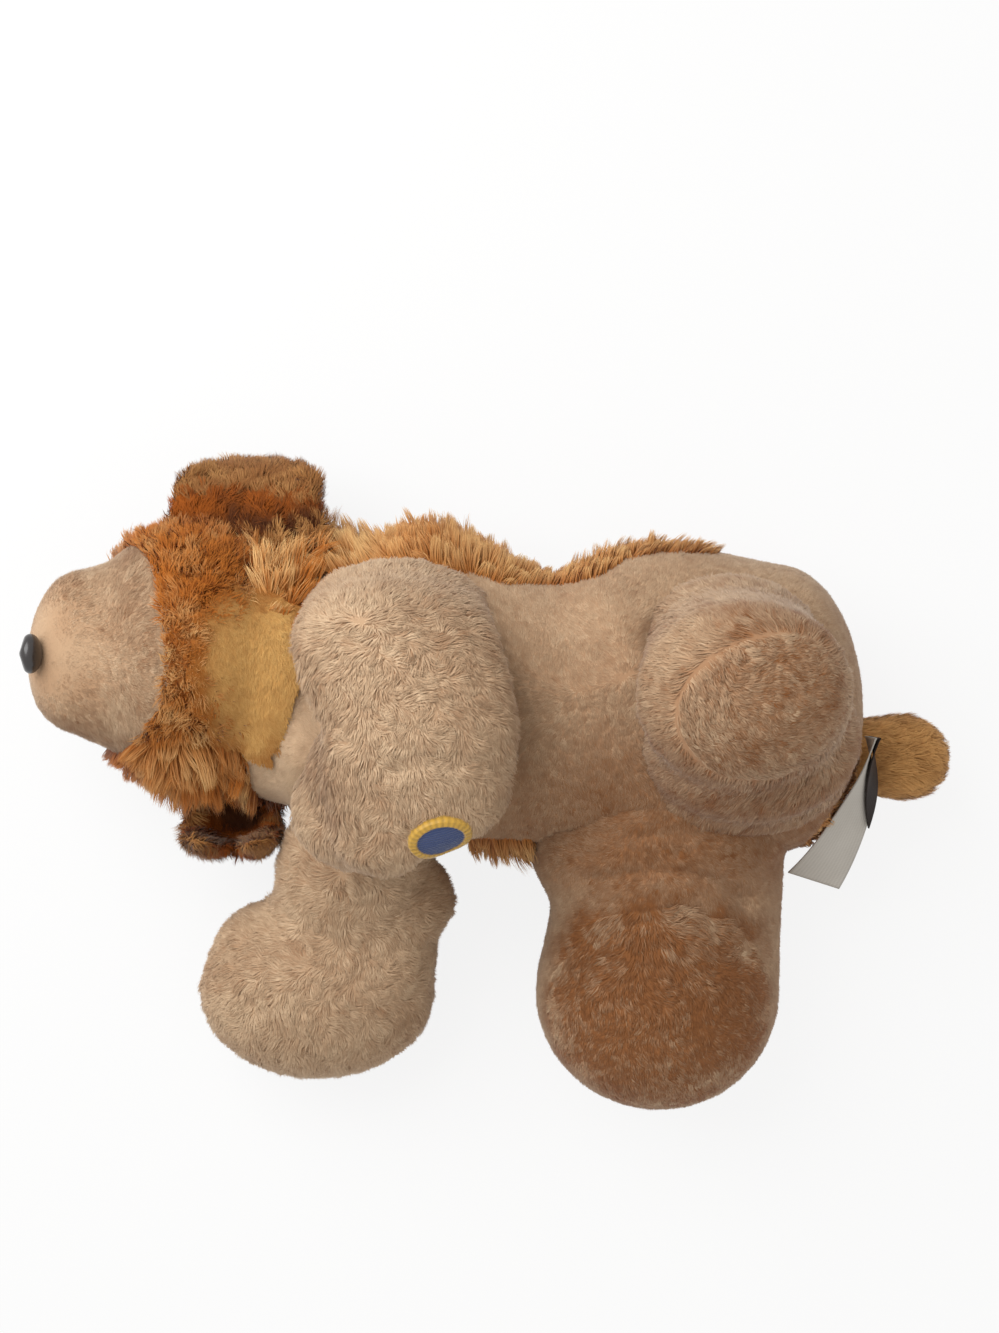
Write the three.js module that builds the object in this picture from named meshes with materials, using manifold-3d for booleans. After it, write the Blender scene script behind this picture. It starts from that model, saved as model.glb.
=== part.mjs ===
// A stuffed toy spaniel lying on its back: sewn panels, stuffing, pellet bag, eyes, nose, ears, legs,
// tail and labels. Millimetres. The origin is the middle of the flat of its back, +Z points up through
// the belly, +X to the tail and +Y to the dog's left.
import * as THREE from 'three';
import { mergeVertices } from 'three/addons/utils/BufferGeometryUtils.js';
import Module from 'manifold-3d';

const wasm = await Module();
wasm.setup();

// Fabric and clearances
const SHORT_PILE = 3.5;
const LONG_PILE = 5;
const SEWN_GAP = 0.3;
const SWING_GAP = 0.85;
const REST_GAP = 0.4;

// Torso: four sections from the chest to the rump, with a rounded end beyond the first and last
const TORSO_HEIGHT = 32;
const CHEST = { x: -48, y: 9, halfWidth: 44.5, halfDepth: 34 };
const WAIST = { x: -11, y: 0.5, halfWidth: 38.5, halfDepth: 33.5 };
const HIPS = { x: 20, y: 1.5, halfWidth: 45, halfDepth: 35 };
const RUMP = { x: 52, y: 1.5, halfWidth: 39, halfDepth: 34 };
const CHEST_ROUND = 24;
const RUMP_ROUND = 22;
const SIDE_SEAM_HEIGHT = 22;

// Neck: a spindle across the body that the head nods on
const NECK = { x: -79, y: 11, z: 34, halfLength: 37, radius: 27 };

// Pellet bag, in a pocket of the body stuffing
const PELLET_BAG = { x: -8, y: 1, halfLength: 14, halfWidth: 22, low: 22, high: 44, round: 12 };

// Head: a skull and a muzzle that tapers to the nose
const SKULL = { x: -104, y: 13.5, z: 33, length: 31, width: 39, depth: 35 };
const MUZZLE_BASE = { x: -112, y: 15, z: 40, halfWidth: 27.5, halfDepth: 21 };
const MUZZLE_MIDDLE = { x: -124.5, y: 16.6, z: 42.5, halfWidth: 24, halfDepth: 19 };
const MUZZLE_FRONT = { x: -131.5, y: 16.6, z: 45, halfWidth: 19.5, halfDepth: 15.5 };
const MUZZLE_ROUND = 11.5;
const MUZZLE_SEAM = { x: -116, lean: 0.55 };

// Eyes and nose, each with a stem through the fabric and a washer behind it
const EYE = { radius: 5.5, height: 3.6, forward: 0.74, apart: 0.36, down: 0.57 };
const NOSE = { halfWidth: 5.6, halfHeight: 4.4, halfDepth: 3.8, up: 0.72, washerBack: 3.5 };
const STEM = { radius: 1.8, length: 12 };
const WASHER = { radius: 5, thickness: 1.6, setBack: 3 };

// Ears: a flap sewn on along a rolled root, which leaves the head level and droops to the floor
const EAR = { rootHeight: 28, drop: 22, furThickness: 4, liningThickness: 1.6 };
const LEFT_EAR = { x: -95, sweep: 7, rootWidth: 14, halfWidth: 20.5, reach: 15 };
const RIGHT_EAR = { x: -96.5, sweep: 0, rootWidth: 11, halfWidth: 12.5, reach: 11.5 };
const EAR_WIDEST = 0.6;
const EAR_TIP_TAPER = 0.17;
const EAR_TIP_LEAST = 0.1;

// Legs: each starts as a spindle on its swing axis, sunk into the torso, and swells to the foot
const LEFT_FRONT = { x: -48, y: 26, z: 56, halfLength: 26, radius: 15.5 };
const LEFT_FRONT_KNEE = { x: -46, y: 18, z: 74, halfWidth: 25.5, halfDepth: 14.5 };
const LEFT_FRONT_SHIN = { x: -40, y: -2, z: 82.5, halfWidth: 25, halfDepth: 15 };
const LEFT_FRONT_PAW = { x: -40, y: -23.5, z: 78, halfWidth: 22.5, halfDepth: 15, round: 16.5 };
const RIGHT_FRONT = { x: -50, y: -24, z: 40, halfLength: 17, radius: 17 };
const RIGHT_FRONT_ELBOW = { x: -58.5, y: -37, z: 34.5, halfWidth: 21.5, halfDepth: 17 };
const RIGHT_FRONT_SHIN = { x: -59, y: -50, z: 28, halfWidth: 24.5, halfDepth: 18, round: 16 };
const RIGHT_FRONT_FOOT = { x: -70, y: -73.5, z: 23.5, length: 33, width: 25, depth: 24 };
const LEFT_HIND = { x: 36, y: 19, z: 57, halfLength: 24, radius: 19 };
const LEFT_HIND_FOOT = { x: 36, y: 6.5, z: 82, halfWidth: 27.5, halfDepth: 25, round: 22 };
const RIGHT_HIND = { x: 27, y: -30, z: 34, halfLength: 28, radius: 18 };
const RIGHT_HIND_THIGH = { x: 22, y: -52, z: 31, halfWidth: 31, halfDepth: 26 };
const RIGHT_HIND_FOOT = { x: 20, y: -73, z: 30.5, halfWidth: 33.5, halfDepth: 31, round: 32 };
const FILL_HOLE = 8;
const ROOT_LEAST = 1.5;
const ROOT_SET_BACK = 5;

// How far each leg swings, in degrees about its own axis
const LEFT_FRONT_LIFT = 90;
const RIGHT_FRONT_BACK = 20;
const LEFT_HIND_SPLAY = 45;
const RIGHT_HIND_LIFT = 35;

// Tail: a stub on a ball sunk into the rump
const TAIL = { x: 70, y: -11, z: 24, radius: 11.5 };
const TAIL_END = { x: 86, y: -11.4, z: 25, halfWidth: 13.2, halfDepth: 12.2, round: 13.8 };
const TAIL_WAG = 20;

// Labels sewn in beside the tail, and the plain stitched patch on the left front paw
const LABEL = { y: -5, z: 47, halfWidth: 8, thickness: 0.5, twist: 1.35, inward: 8, fall: 17, tuck: 0.8 };
const CARE_LABEL_LENGTH = 39;
const DARK_LABEL_LENGTH = 23;
const LABELS_APART = 1;
const PATCH = { x: -41, y: -22, halfLength: 7.4, halfWidth: 5.6, thickness: 1.2, lean: 0.35 };

// Facets
const SKIN_SIDES = 14;
const CORE_SIDES = 8;
const RING_STEPS = 2;
const CAP_STEPS = 3;
const BALL_SIDES = 16;
const BALL_RINGS = 8;
const CORE_BALL_SIDES = 10;
const CORE_BALL_RINGS = 6;
const BUTTON_SIDES = 12;
const DOME_STEPS = 6;
const EAR_GRID = { lengthSteps: 6, widthSteps: 6 };
const LABEL_GRID = { lengthSteps: 8, widthSteps: 2 };
const FAR = 400;
const THROUGH = 50;

const X_AXIS = new THREE.Vector3(1, 0, 0);
const Y_AXIS = new THREE.Vector3(0, 1, 0);
const Z_AXIS = new THREE.Vector3(0, 0, 1);

const point = ({ x, y, z }) => new THREE.Vector3(x, y, z);

// Solid made from a closed geometry
function solidOf(geometry) {
  const bare = geometry.clone();
  bare.deleteAttribute('normal');
  bare.deleteAttribute('uv');
  const merged = mergeVertices(bare);
  const vertProperties = new Float32Array(merged.attributes.position.array);
  const triVerts = new Uint32Array(merged.index.array);
  return new wasm.Manifold(new wasm.Mesh({ numProp: 3, vertProperties, triVerts }));
}

// Geometry of the largest body of a solid, which drops the crumbs that a cut leaves
function geometryOf(solid) {
  const bodies = solid.decompose();
  const largest = bodies.reduce((best, body) => (body.volume() > best.volume() ? body : best));
  const mesh = largest.getMesh();
  const geometry = new THREE.BufferGeometry();
  geometry.setAttribute('position', new THREE.BufferAttribute(new Float32Array(mesh.vertProperties), 3));
  geometry.setIndex([...mesh.triVerts]);
  geometry.computeVertexNormals();
  return geometry;
}

function indexedGeometry(points, index) {
  const geometry = new THREE.BufferGeometry().setFromPoints(points);
  geometry.setIndex(index);
  return geometry;
}

// Swelling tube round a smooth spine: oval sections, rounded ends, every surface drawn in by inset
function stuffedTube({ sections, sideways, startRound, endRound }, inset = 0) {
  const spine = new THREE.CatmullRomCurve3(sections.map(point));
  const girth = new THREE.CatmullRomCurve3(
    sections.map((section) => new THREE.Vector3(section.halfWidth, section.halfDepth, 0)),
  );
  const steps = RING_STEPS * (sections.length - 1);
  const sides = inset > 0 ? CORE_SIDES : SKIN_SIDES;
  const points = [];
  const addRing = (centre, along, scale, t) => {
    const across = sideways.clone().addScaledVector(along, -sideways.dot(along)).normalize();
    const through = along.clone().cross(across);
    const size = girth.getPoint(t);
    for (let side = 0; side < sides; side += 1) {
      const angle = (side / sides) * 2 * Math.PI;
      points.push(
        centre
          .clone()
          .addScaledVector(across, (size.x - inset) * scale * Math.cos(angle))
          .addScaledVector(through, (size.y - inset) * scale * Math.sin(angle)),
      );
    }
  };
  const addCap = (t, round, outward, order) => {
    const along = spine.getTangent(t);
    for (const step of order) {
      const angle = (step / CAP_STEPS) * (Math.PI / 2);
      const centre = spine.getPoint(t).addScaledVector(along, outward * (round - inset) * Math.sin(angle));
      addRing(centre, along, Math.cos(angle), t);
    }
  };
  const capOrder = [...Array(CAP_STEPS - 1).keys()].map((step) => step + 1);
  addCap(0, startRound, -1, [...capOrder].reverse());
  for (let step = 0; step <= steps; step += 1) {
    addRing(spine.getPoint(step / steps), spine.getTangent(step / steps), 1, step / steps);
  }
  addCap(1, endRound, 1, capOrder);
  const rings = points.length / sides;
  const startPole = points.push(spine.getPoint(0).addScaledVector(spine.getTangent(0), inset - startRound)) - 1;
  const endPole = points.push(spine.getPoint(1).addScaledVector(spine.getTangent(1), endRound - inset)) - 1;
  const index = [];
  for (let side = 0; side < sides; side += 1) {
    const next = (side + 1) % sides;
    const last = (rings - 1) * sides;
    index.push(startPole, next, side);
    index.push(endPole, last + side, last + next);
    for (let ring = 0; ring < rings - 1; ring += 1) {
      const near = ring * sides;
      const far = near + sides;
      index.push(near + side, near + next, far + next);
      index.push(near + side, far + next, far + side);
    }
  }
  return solidOf(indexedGeometry(points, index));
}

// Closed flap of even thickness, lying at an offset from the surface that shape(u, v) gives
function flap(shape, { thickness, offset, lengthSteps, widthSteps }) {
  const tiny = 1e-3;
  const points = [];
  for (const side of [0.5, -0.5]) {
    for (let i = 0; i <= lengthSteps; i += 1) {
      for (let j = 0; j <= widthSteps; j += 1) {
        const u = i / lengthSteps;
        const v = (2 * j) / widthSteps - 1;
        const alongU = shape(u + tiny, v).sub(shape(u - tiny, v));
        const alongV = shape(u, v + tiny).sub(shape(u, v - tiny));
        const normal = alongU.cross(alongV).normalize();
        points.push(shape(u, v).addScaledVector(normal, offset + side * thickness));
      }
    }
  }
  const row = widthSteps + 1;
  const under = row * (lengthSteps + 1);
  const at = (i, j) => i * row + j;
  const index = [];
  const addWall = (from, to) => index.push(from, from + under, to + under, from, to + under, to);
  for (let i = 0; i < lengthSteps; i += 1) {
    for (let j = 0; j < widthSteps; j += 1) {
      const [a, b, c, d] = [at(i, j), at(i + 1, j), at(i + 1, j + 1), at(i, j + 1)];
      index.push(a, b, c, a, c, d);
      index.push(under + a, under + c, under + b, under + a, under + d, under + c);
    }
    addWall(at(i, 0), at(i + 1, 0));
    addWall(at(i + 1, widthSteps), at(i, widthSteps));
  }
  for (let j = 0; j < widthSteps; j += 1) {
    addWall(at(lengthSteps, j), at(lengthSteps, j + 1));
    addWall(at(0, j + 1), at(0, j));
  }
  return solidOf(indexedGeometry(points, index));
}

// Oval with three half-sizes, drawn in by inset
function oval(centre, [halfX, halfY, halfZ], inset = 0) {
  const [sides, rings] = inset > 0 ? [CORE_BALL_SIDES, CORE_BALL_RINGS] : [BALL_SIDES, BALL_RINGS];
  const geometry = new THREE.SphereGeometry(1, sides, rings);
  geometry.scale(halfX - inset, halfY - inset, halfZ - inset);
  geometry.translate(centre.x, centre.y, centre.z);
  return solidOf(geometry);
}

// Everything on one side of a plane
function halfSpace(through, direction) {
  const geometry = new THREE.BoxGeometry(FAR, FAR, FAR);
  geometry.translate(0, 0, FAR / 2);
  geometry.applyQuaternion(new THREE.Quaternion().setFromUnitVectors(Z_AXIS, direction.clone().normalize()));
  geometry.translate(through.x, through.y, through.z);
  return solidOf(geometry);
}

const above = (height) => halfSpace(new THREE.Vector3(0, 0, height), Z_AXIS);
const below = (height) => halfSpace(new THREE.Vector3(0, 0, height), Z_AXIS.clone().negate());

// Turned piece on an axis: profile points are [radius, distance along the axis]
function turned(profile, start, axis) {
  const geometry = new THREE.LatheGeometry(profile.map(([r, h]) => new THREE.Vector2(r, h)), BUTTON_SIDES);
  geometry.applyQuaternion(new THREE.Quaternion().setFromUnitVectors(Y_AXIS, axis.clone().normalize()));
  geometry.translate(start.x, start.y, start.z);
  return solidOf(geometry);
}

const rod = (start, axis, radius, length) =>
  turned([[0, 0], [radius, 0], [radius, length], [0, length]], start, axis);

const union = (solids) => solids.reduce((sum, solid) => sum.add(solid));

// A solid turned about an axis through a pivot
function swung(solid, pivot, axis, degrees) {
  const geometry = geometryOf(solid);
  geometry.translate(-pivot.x, -pivot.y, -pivot.z);
  geometry.applyMatrix4(new THREE.Matrix4().makeRotationAxis(axis, THREE.MathUtils.degToRad(degrees)));
  geometry.translate(pivot.x, pivot.y, pivot.z);
  return solidOf(geometry);
}

// Torso and neck
const torsoSections = [CHEST, WAIST, HIPS, RUMP].map((section) => ({ ...section, z: TORSO_HEIGHT }));
const torsoShape = { sections: torsoSections, sideways: Y_AXIS, startRound: CHEST_ROUND, endRound: RUMP_ROUND };

const torsoForm = (inset) => stuffedTube(torsoShape, inset).intersect(above(inset));
const neckForm = (inset) => oval(NECK, [NECK.radius, NECK.halfLength, NECK.radius], inset);

// Legs: the spindle is round about the swing axis, so it turns in its socket
const spindle = ({ x, y, z, halfLength, radius }, axis, inset) =>
  oval({ x, y, z }, [X_AXIS, Y_AXIS, Z_AXIS].map((way) => (way.dot(axis) ? halfLength : radius)), inset);

// The limb's first section lies just inside its spindle
const rootSection = ({ x, y, z }, halfWidth, halfDepth) => ({
  x,
  y,
  z,
  halfWidth: halfWidth - ROOT_LEAST,
  halfDepth: halfDepth - ROOT_LEAST,
});

const LEGS = {
  left_front_leg: {
    root: LEFT_FRONT,
    axis: X_AXIS,
    turns: [0, -LEFT_FRONT_LIFT / 2, -LEFT_FRONT_LIFT],
    tube: {
      sections: [
        rootSection(LEFT_FRONT, LEFT_FRONT.halfLength, LEFT_FRONT.radius),
        LEFT_FRONT_KNEE,
        LEFT_FRONT_SHIN,
        LEFT_FRONT_PAW,
      ],
      sideways: X_AXIS,
      startRound: LEFT_FRONT.radius - ROOT_SET_BACK,
      endRound: LEFT_FRONT_PAW.round,
    },
  },
  right_front_leg: {
    root: RIGHT_FRONT,
    axis: Z_AXIS,
    turns: [0, RIGHT_FRONT_BACK],
    tube: {
      sections: [
        rootSection(RIGHT_FRONT, RIGHT_FRONT.radius, RIGHT_FRONT.halfLength),
        RIGHT_FRONT_ELBOW,
        RIGHT_FRONT_SHIN,
      ],
      sideways: X_AXIS,
      startRound: RIGHT_FRONT.radius - ROOT_SET_BACK,
      endRound: RIGHT_FRONT_SHIN.round,
    },
    foot: RIGHT_FRONT_FOOT,
  },
  left_hind_leg: {
    root: LEFT_HIND,
    axis: X_AXIS,
    turns: [0, LEFT_HIND_SPLAY / -2, -LEFT_HIND_SPLAY],
    tube: {
      sections: [rootSection(LEFT_HIND, LEFT_HIND.halfLength, LEFT_HIND.radius), LEFT_HIND_FOOT],
      sideways: X_AXIS,
      startRound: LEFT_HIND.radius - ROOT_SET_BACK,
      endRound: LEFT_HIND_FOOT.round,
    },
  },
  right_hind_leg: {
    root: RIGHT_HIND,
    axis: X_AXIS,
    turns: [0, -RIGHT_HIND_LIFT / 2, -RIGHT_HIND_LIFT],
    tube: {
      sections: [
        rootSection(RIGHT_HIND, RIGHT_HIND.halfLength, RIGHT_HIND.radius),
        RIGHT_HIND_THIGH,
        RIGHT_HIND_FOOT,
      ],
      sideways: X_AXIS,
      startRound: RIGHT_HIND.radius - ROOT_SET_BACK,
      endRound: RIGHT_HIND_FOOT.round,
    },
  },
};

const tailShape = {
  sections: [rootSection(TAIL, TAIL.radius, TAIL.radius), TAIL_END],
  sideways: Y_AXIS,
  startRound: TAIL.radius - ROOT_SET_BACK,
  endRound: TAIL_END.round,
};
const tailRoot = (inset) => spindle({ ...TAIL, halfLength: TAIL.radius }, Z_AXIS, inset);

// What a limb may not enter: the torso with the neck as it stands at each turn of the limb
function torsoSweep(root, axis, turns) {
  const torso = stuffedTube(torsoShape, -REST_GAP).add(neckForm(-REST_GAP));
  return union(turns.map((degrees) => (degrees ? swung(torso, point(root), axis, -degrees) : torso)));
}

function legOuter({ tube, foot }, inset) {
  const body = stuffedTube(tube, inset);
  if (!foot) return body;
  return body.add(oval(foot, [foot.length, foot.width, foot.depth], inset));
}

// A limb's skin is open where it is sewn on; its stuffing fills it up to the torso
function limb(form, rootForm, sweep, root, wall) {
  const inward = new THREE.Vector3(0, root.y, TORSO_HEIGHT).sub(point(root)).setX(0);
  const hole = rod(point(root), inward, FILL_HOLE, THROUGH);
  const shape = (inset) => form(inset).subtract(sweep).add(rootForm(inset)).intersect(above(inset));
  const cavity = form(wall).add(rootForm(wall)).intersect(above(wall));
  return {
    skin: shape(0).subtract(cavity).subtract(hole),
    stuffing: shape(wall + SEWN_GAP),
  };
}

const limbs = {};
const sockets = [];
for (const [name, leg] of Object.entries(LEGS)) {
  const sweep = torsoSweep(leg.root, leg.axis, leg.turns);
  const rootForm = (inset) => spindle(leg.root, leg.axis, inset);
  limbs[name] = limb((inset) => legOuter(leg, inset), rootForm, sweep, leg.root, SHORT_PILE);
  sockets.push(rootForm(-SWING_GAP));
}
const tailTurns = [-TAIL_WAG, 0, TAIL_WAG];
limbs.tail = limb(
  (inset) => stuffedTube(tailShape, inset),
  tailRoot,
  torsoSweep(TAIL, Z_AXIS, tailTurns),
  TAIL,
  SHORT_PILE,
);
sockets.push(tailRoot(-SWING_GAP));
const allSockets = union(sockets);

// Body panels: one shell, split at the side seam, with the neck opening at the chest
const torsoShell = torsoForm(0)
  .subtract(torsoForm(SHORT_PILE))
  .subtract(neckForm(SHORT_PILE))
  .subtract(allSockets);
const neckShell = neckForm(0).subtract(neckForm(SHORT_PILE)).subtract(stuffedTube(torsoShape, -SEWN_GAP));
const neckFloor = neckShell.intersect(above(0)).subtract(allSockets);
const overSeam = above(SIDE_SEAM_HEIGHT + SEWN_GAP / 2);
const underSeam = below(SIDE_SEAM_HEIGHT - SEWN_GAP / 2);

const stuffingInset = SHORT_PILE + SEWN_GAP;
const pelletBag = (inset) =>
  stuffedTube(
    {
      sections: [PELLET_BAG.low, PELLET_BAG.high].map((z) => ({
        x: PELLET_BAG.x,
        y: PELLET_BAG.y,
        z,
        halfWidth: PELLET_BAG.halfLength,
        halfDepth: PELLET_BAG.halfWidth,
      })),
      sideways: X_AXIS,
      startRound: PELLET_BAG.round,
      endRound: PELLET_BAG.round,
    },
    inset,
  );
const pocketMouth = rod(
  new THREE.Vector3(PELLET_BAG.x, PELLET_BAG.y, PELLET_BAG.high),
  Z_AXIS,
  PELLET_BAG.halfLength - SHORT_PILE,
  THROUGH,
);
const bodyStuffing = torsoForm(stuffingInset)
  .add(neckForm(stuffingInset).intersect(above(stuffingInset)))
  .subtract(allSockets)
  .subtract(pelletBag(-SEWN_GAP))
  .subtract(pocketMouth);

// Head: skull and muzzle in one form, cut by the neck, split at the muzzle seam
const muzzleShape = {
  sections: [MUZZLE_BASE, MUZZLE_MIDDLE, MUZZLE_FRONT],
  sideways: Y_AXIS,
  startRound: MUZZLE_ROUND,
  endRound: MUZZLE_ROUND,
};
const headForm = (inset) =>
  oval(SKULL, [SKULL.length, SKULL.width, SKULL.depth], inset)
    .add(stuffedTube(muzzleShape, inset))
    .intersect(above(inset));
const neckSocket = neckForm(-SWING_GAP);

// A fitting stands on the fabric with its stem through it and its washer behind it
function fitting(seat, outward, dome, wall) {
  const foot = seat.clone().addScaledVector(outward, -STEM.length);
  const washerFoot = seat.clone().addScaledVector(outward, -wall - WASHER.thickness - WASHER.setBack);
  const hole = STEM.radius + SEWN_GAP;
  const ring = [
    [hole, 0],
    [WASHER.radius, 0],
    [WASHER.radius, WASHER.thickness],
    [hole, WASHER.thickness],
    [hole, 0],
  ];
  return {
    cap: dome.subtract(headForm(-SEWN_GAP)).add(rod(foot, outward, STEM.radius, STEM.length + 1)),
    washer: turned(ring, washerFoot, outward),
    stemHole: rod(foot, outward, hole, STEM.length + 1),
    pocket: rod(
      foot.clone().addScaledVector(outward, -SEWN_GAP),
      outward,
      WASHER.radius + SEWN_GAP,
      STEM.length + SEWN_GAP,
    ),
  };
}

function eyeFitting(side) {
  const way = new THREE.Vector3(-EYE.forward, side * EYE.apart, -EYE.down).normalize();
  const radii = new THREE.Vector3(SKULL.length, SKULL.width, SKULL.depth);
  const seat = point(SKULL).add(way.clone().multiply(radii));
  const outward = way.clone().divide(radii).normalize();
  const profile = [[0, -EYE.height]];
  for (let step = 0; step <= DOME_STEPS; step += 1) {
    const angle = ((step / DOME_STEPS) * Math.PI) / 2;
    profile.push([EYE.radius * Math.cos(angle), EYE.height * Math.sin(angle)]);
  }
  profile.splice(1, 0, [EYE.radius, -EYE.height]);
  return fitting(seat, outward, turned(profile, seat, outward), LONG_PILE);
}

function noseFitting() {
  const front = point(MUZZLE_FRONT);
  const along = front.clone().sub(point(MUZZLE_MIDDLE)).normalize();
  const forward = Math.sqrt(1 - NOSE.up ** 2);
  const seat = front
    .clone()
    .addScaledVector(along, MUZZLE_ROUND * forward)
    .addScaledVector(Z_AXIS, MUZZLE_FRONT.halfDepth * NOSE.up);
  const outward = along
    .clone()
    .multiplyScalar(forward / MUZZLE_ROUND)
    .addScaledVector(Z_AXIS, NOSE.up / MUZZLE_FRONT.halfDepth)
    .normalize();
  const dome = oval(seat, [NOSE.halfDepth, NOSE.halfWidth, NOSE.halfHeight]);
  return fitting(seat, outward, dome, SHORT_PILE + NOSE.washerBack);
}

const leftEye = eyeFitting(1);
const rightEye = eyeFitting(-1);
const nose = noseFitting();
const fittings = [leftEye, rightEye, nose];
const stemHoles = union(fittings.map((part) => part.stemHole));
const headShell = headForm(0).subtract(headForm(LONG_PILE)).subtract(neckSocket).subtract(stemHoles);
const headStuffing = headForm(LONG_PILE + SEWN_GAP)
  .subtract(neckSocket)
  .subtract(union(fittings.map((part) => part.pocket)));
const seamWay = new THREE.Vector3(-1, 0, MUZZLE_SEAM.lean).normalize();
const seamPoint = new THREE.Vector3(MUZZLE_SEAM.x, MUZZLE_BASE.y, MUZZLE_BASE.z);
const beyondSeam = (way) => halfSpace(seamPoint.clone().addScaledVector(way, SEWN_GAP / 2), way);

// Ears: the surface leaves the rolled root level and bends over towards the floor
const earStack = EAR.furThickness + SEWN_GAP + EAR.liningThickness;
const ovalShare = (...shares) => Math.sqrt(1 - shares.reduce((sum, share) => sum + share ** 2, 0));

// Where the root touches the widest part of the skull along it
function earRootY(side, { x, rootWidth }) {
  const widest = THREE.MathUtils.clamp(SKULL.x, x - rootWidth, x + rootWidth);
  const share = ovalShare((widest - SKULL.x) / SKULL.length, (EAR.rootHeight - SKULL.z) / SKULL.depth);
  return SKULL.y + side * (SKULL.width * share + earStack / 2 + SEWN_GAP);
}

function earSurface(side, shape) {
  const { x, sweep, rootWidth, halfWidth, reach } = shape;
  const rootY = earRootY(side, shape);
  return (u, v) => {
    const bend = u * (Math.PI / 2);
    const swell = Math.sin(Math.min(u / EAR_WIDEST, 1) * (Math.PI / 2));
    const past = Math.max(u - EAR_WIDEST, 0);
    const tip = Math.sqrt(Math.max(1 - past ** 2 / EAR_TIP_TAPER, EAR_TIP_LEAST));
    return new THREE.Vector3(
      x + sweep * u + v * (rootWidth + (halfWidth - rootWidth) * swell) * tip,
      rootY + side * reach * Math.sin(bend),
      EAR.rootHeight - EAR.drop * (1 - Math.cos(bend)),
    );
  };
}

function ear(side, shape) {
  const surface = earSurface(side, shape);
  const upwards = -side;
  const furOffset = (upwards * (EAR.furThickness - earStack)) / 2;
  const liningOffset = (upwards * (earStack - EAR.liningThickness)) / 2;
  const rollStart = new THREE.Vector3(shape.x - shape.rootWidth, earRootY(side, shape), EAR.rootHeight);
  const roll = (grow) => rod(rollStart, X_AXIS, earStack / 2 + grow, 2 * shape.rootWidth);
  return {
    fur: flap(surface, { thickness: EAR.furThickness, offset: furOffset, ...EAR_GRID }).add(roll(0)),
    lining: flap(surface, { thickness: EAR.liningThickness, offset: liningOffset, ...EAR_GRID }).subtract(roll(SEWN_GAP)),
  };
}

const leftEar = ear(1, LEFT_EAR);
const rightEar = ear(-1, RIGHT_EAR);

// Labels: ribbons sewn into the rump seam that lie along it and twist to face up
const labelRump = ovalShare(
  (LABEL.y - RUMP.y) / RUMP.halfWidth,
  (LABEL.z - LABEL.halfWidth - TORSO_HEIGHT) / RUMP.halfDepth,
);
const labelX = RUMP.x + RUMP_ROUND * labelRump + LABEL.thickness / 2 + SEWN_GAP - LABEL.tuck;

function labelSurface(length) {
  return (u, v) => {
    const run = u * length;
    const fall = run / CARE_LABEL_LENGTH;
    const turn = LABEL.twist * fall;
    return new THREE.Vector3(
      labelX - LABEL.inward * fall ** 2 - v * LABEL.halfWidth * Math.sin(turn),
      LABEL.y - run,
      LABEL.z - LABEL.fall * fall ** 2 + v * LABEL.halfWidth * Math.cos(turn),
    );
  };
}

const label = (length, offset) =>
  flap(labelSurface(length), { thickness: LABEL.thickness, offset, ...LABEL_GRID });

// Patch: a thin oval that follows the paw
const patchWay = new THREE.Vector3(PATCH.lean, -PATCH.lean, 1).normalize();
const patchFoot = new THREE.Vector3(PATCH.x, PATCH.y, LEFT_FRONT_PAW.z);
const patchColumn = new THREE.CylinderGeometry(1, 1, THROUGH, BALL_SIDES);
patchColumn.scale(PATCH.halfLength, 1, PATCH.halfWidth);
patchColumn.translate(0, THROUGH / 2, 0);
patchColumn.applyQuaternion(new THREE.Quaternion().setFromUnitVectors(Y_AXIS, patchWay));
patchColumn.translate(patchFoot.x, patchFoot.y, patchFoot.z);
const pawForm = (inset) => legOuter(LEGS.left_front_leg, inset);
const patch = pawForm(-SEWN_GAP - PATCH.thickness).subtract(pawForm(-SEWN_GAP)).intersect(solidOf(patchColumn));

// Colours and finish
const CREAM = { color: 0xd8b894, roughness: 0.95, metalness: 0 };
const GOLDEN_BROWN = { color: 0xa66a33, roughness: 0.95, metalness: 0 };
const PALE_GOLD = { color: 0xc69a55, roughness: 0.95, metalness: 0 };
const EAR_LINING = { color: 0x8a5527, roughness: 0.8, metalness: 0 };
const STUFFING = { color: 0xf2efe8, roughness: 1, metalness: 0 };
const PELLET_CLOTH = { color: 0xdad6cc, roughness: 0.9, metalness: 0 };
const BLACK_PLASTIC = { color: 0x17130f, roughness: 0.25, metalness: 0 };
const WASHER_PLASTIC = { color: 0xe6e6e2, roughness: 0.5, metalness: 0 };
const WHITE_RIBBON = { color: 0xe9e4da, roughness: 0.6, metalness: 0 };
const DARK_RIBBON = { color: 0x2a2320, roughness: 0.6, metalness: 0 };
const PATCH_THREAD = { color: 0x2f4468, roughness: 0.6, metalness: 0 };

function piece(name, solid, finish) {
  const mesh = new THREE.Mesh(geometryOf(solid), new THREE.MeshStandardMaterial(finish));
  mesh.name = name;
  return mesh;
}

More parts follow.
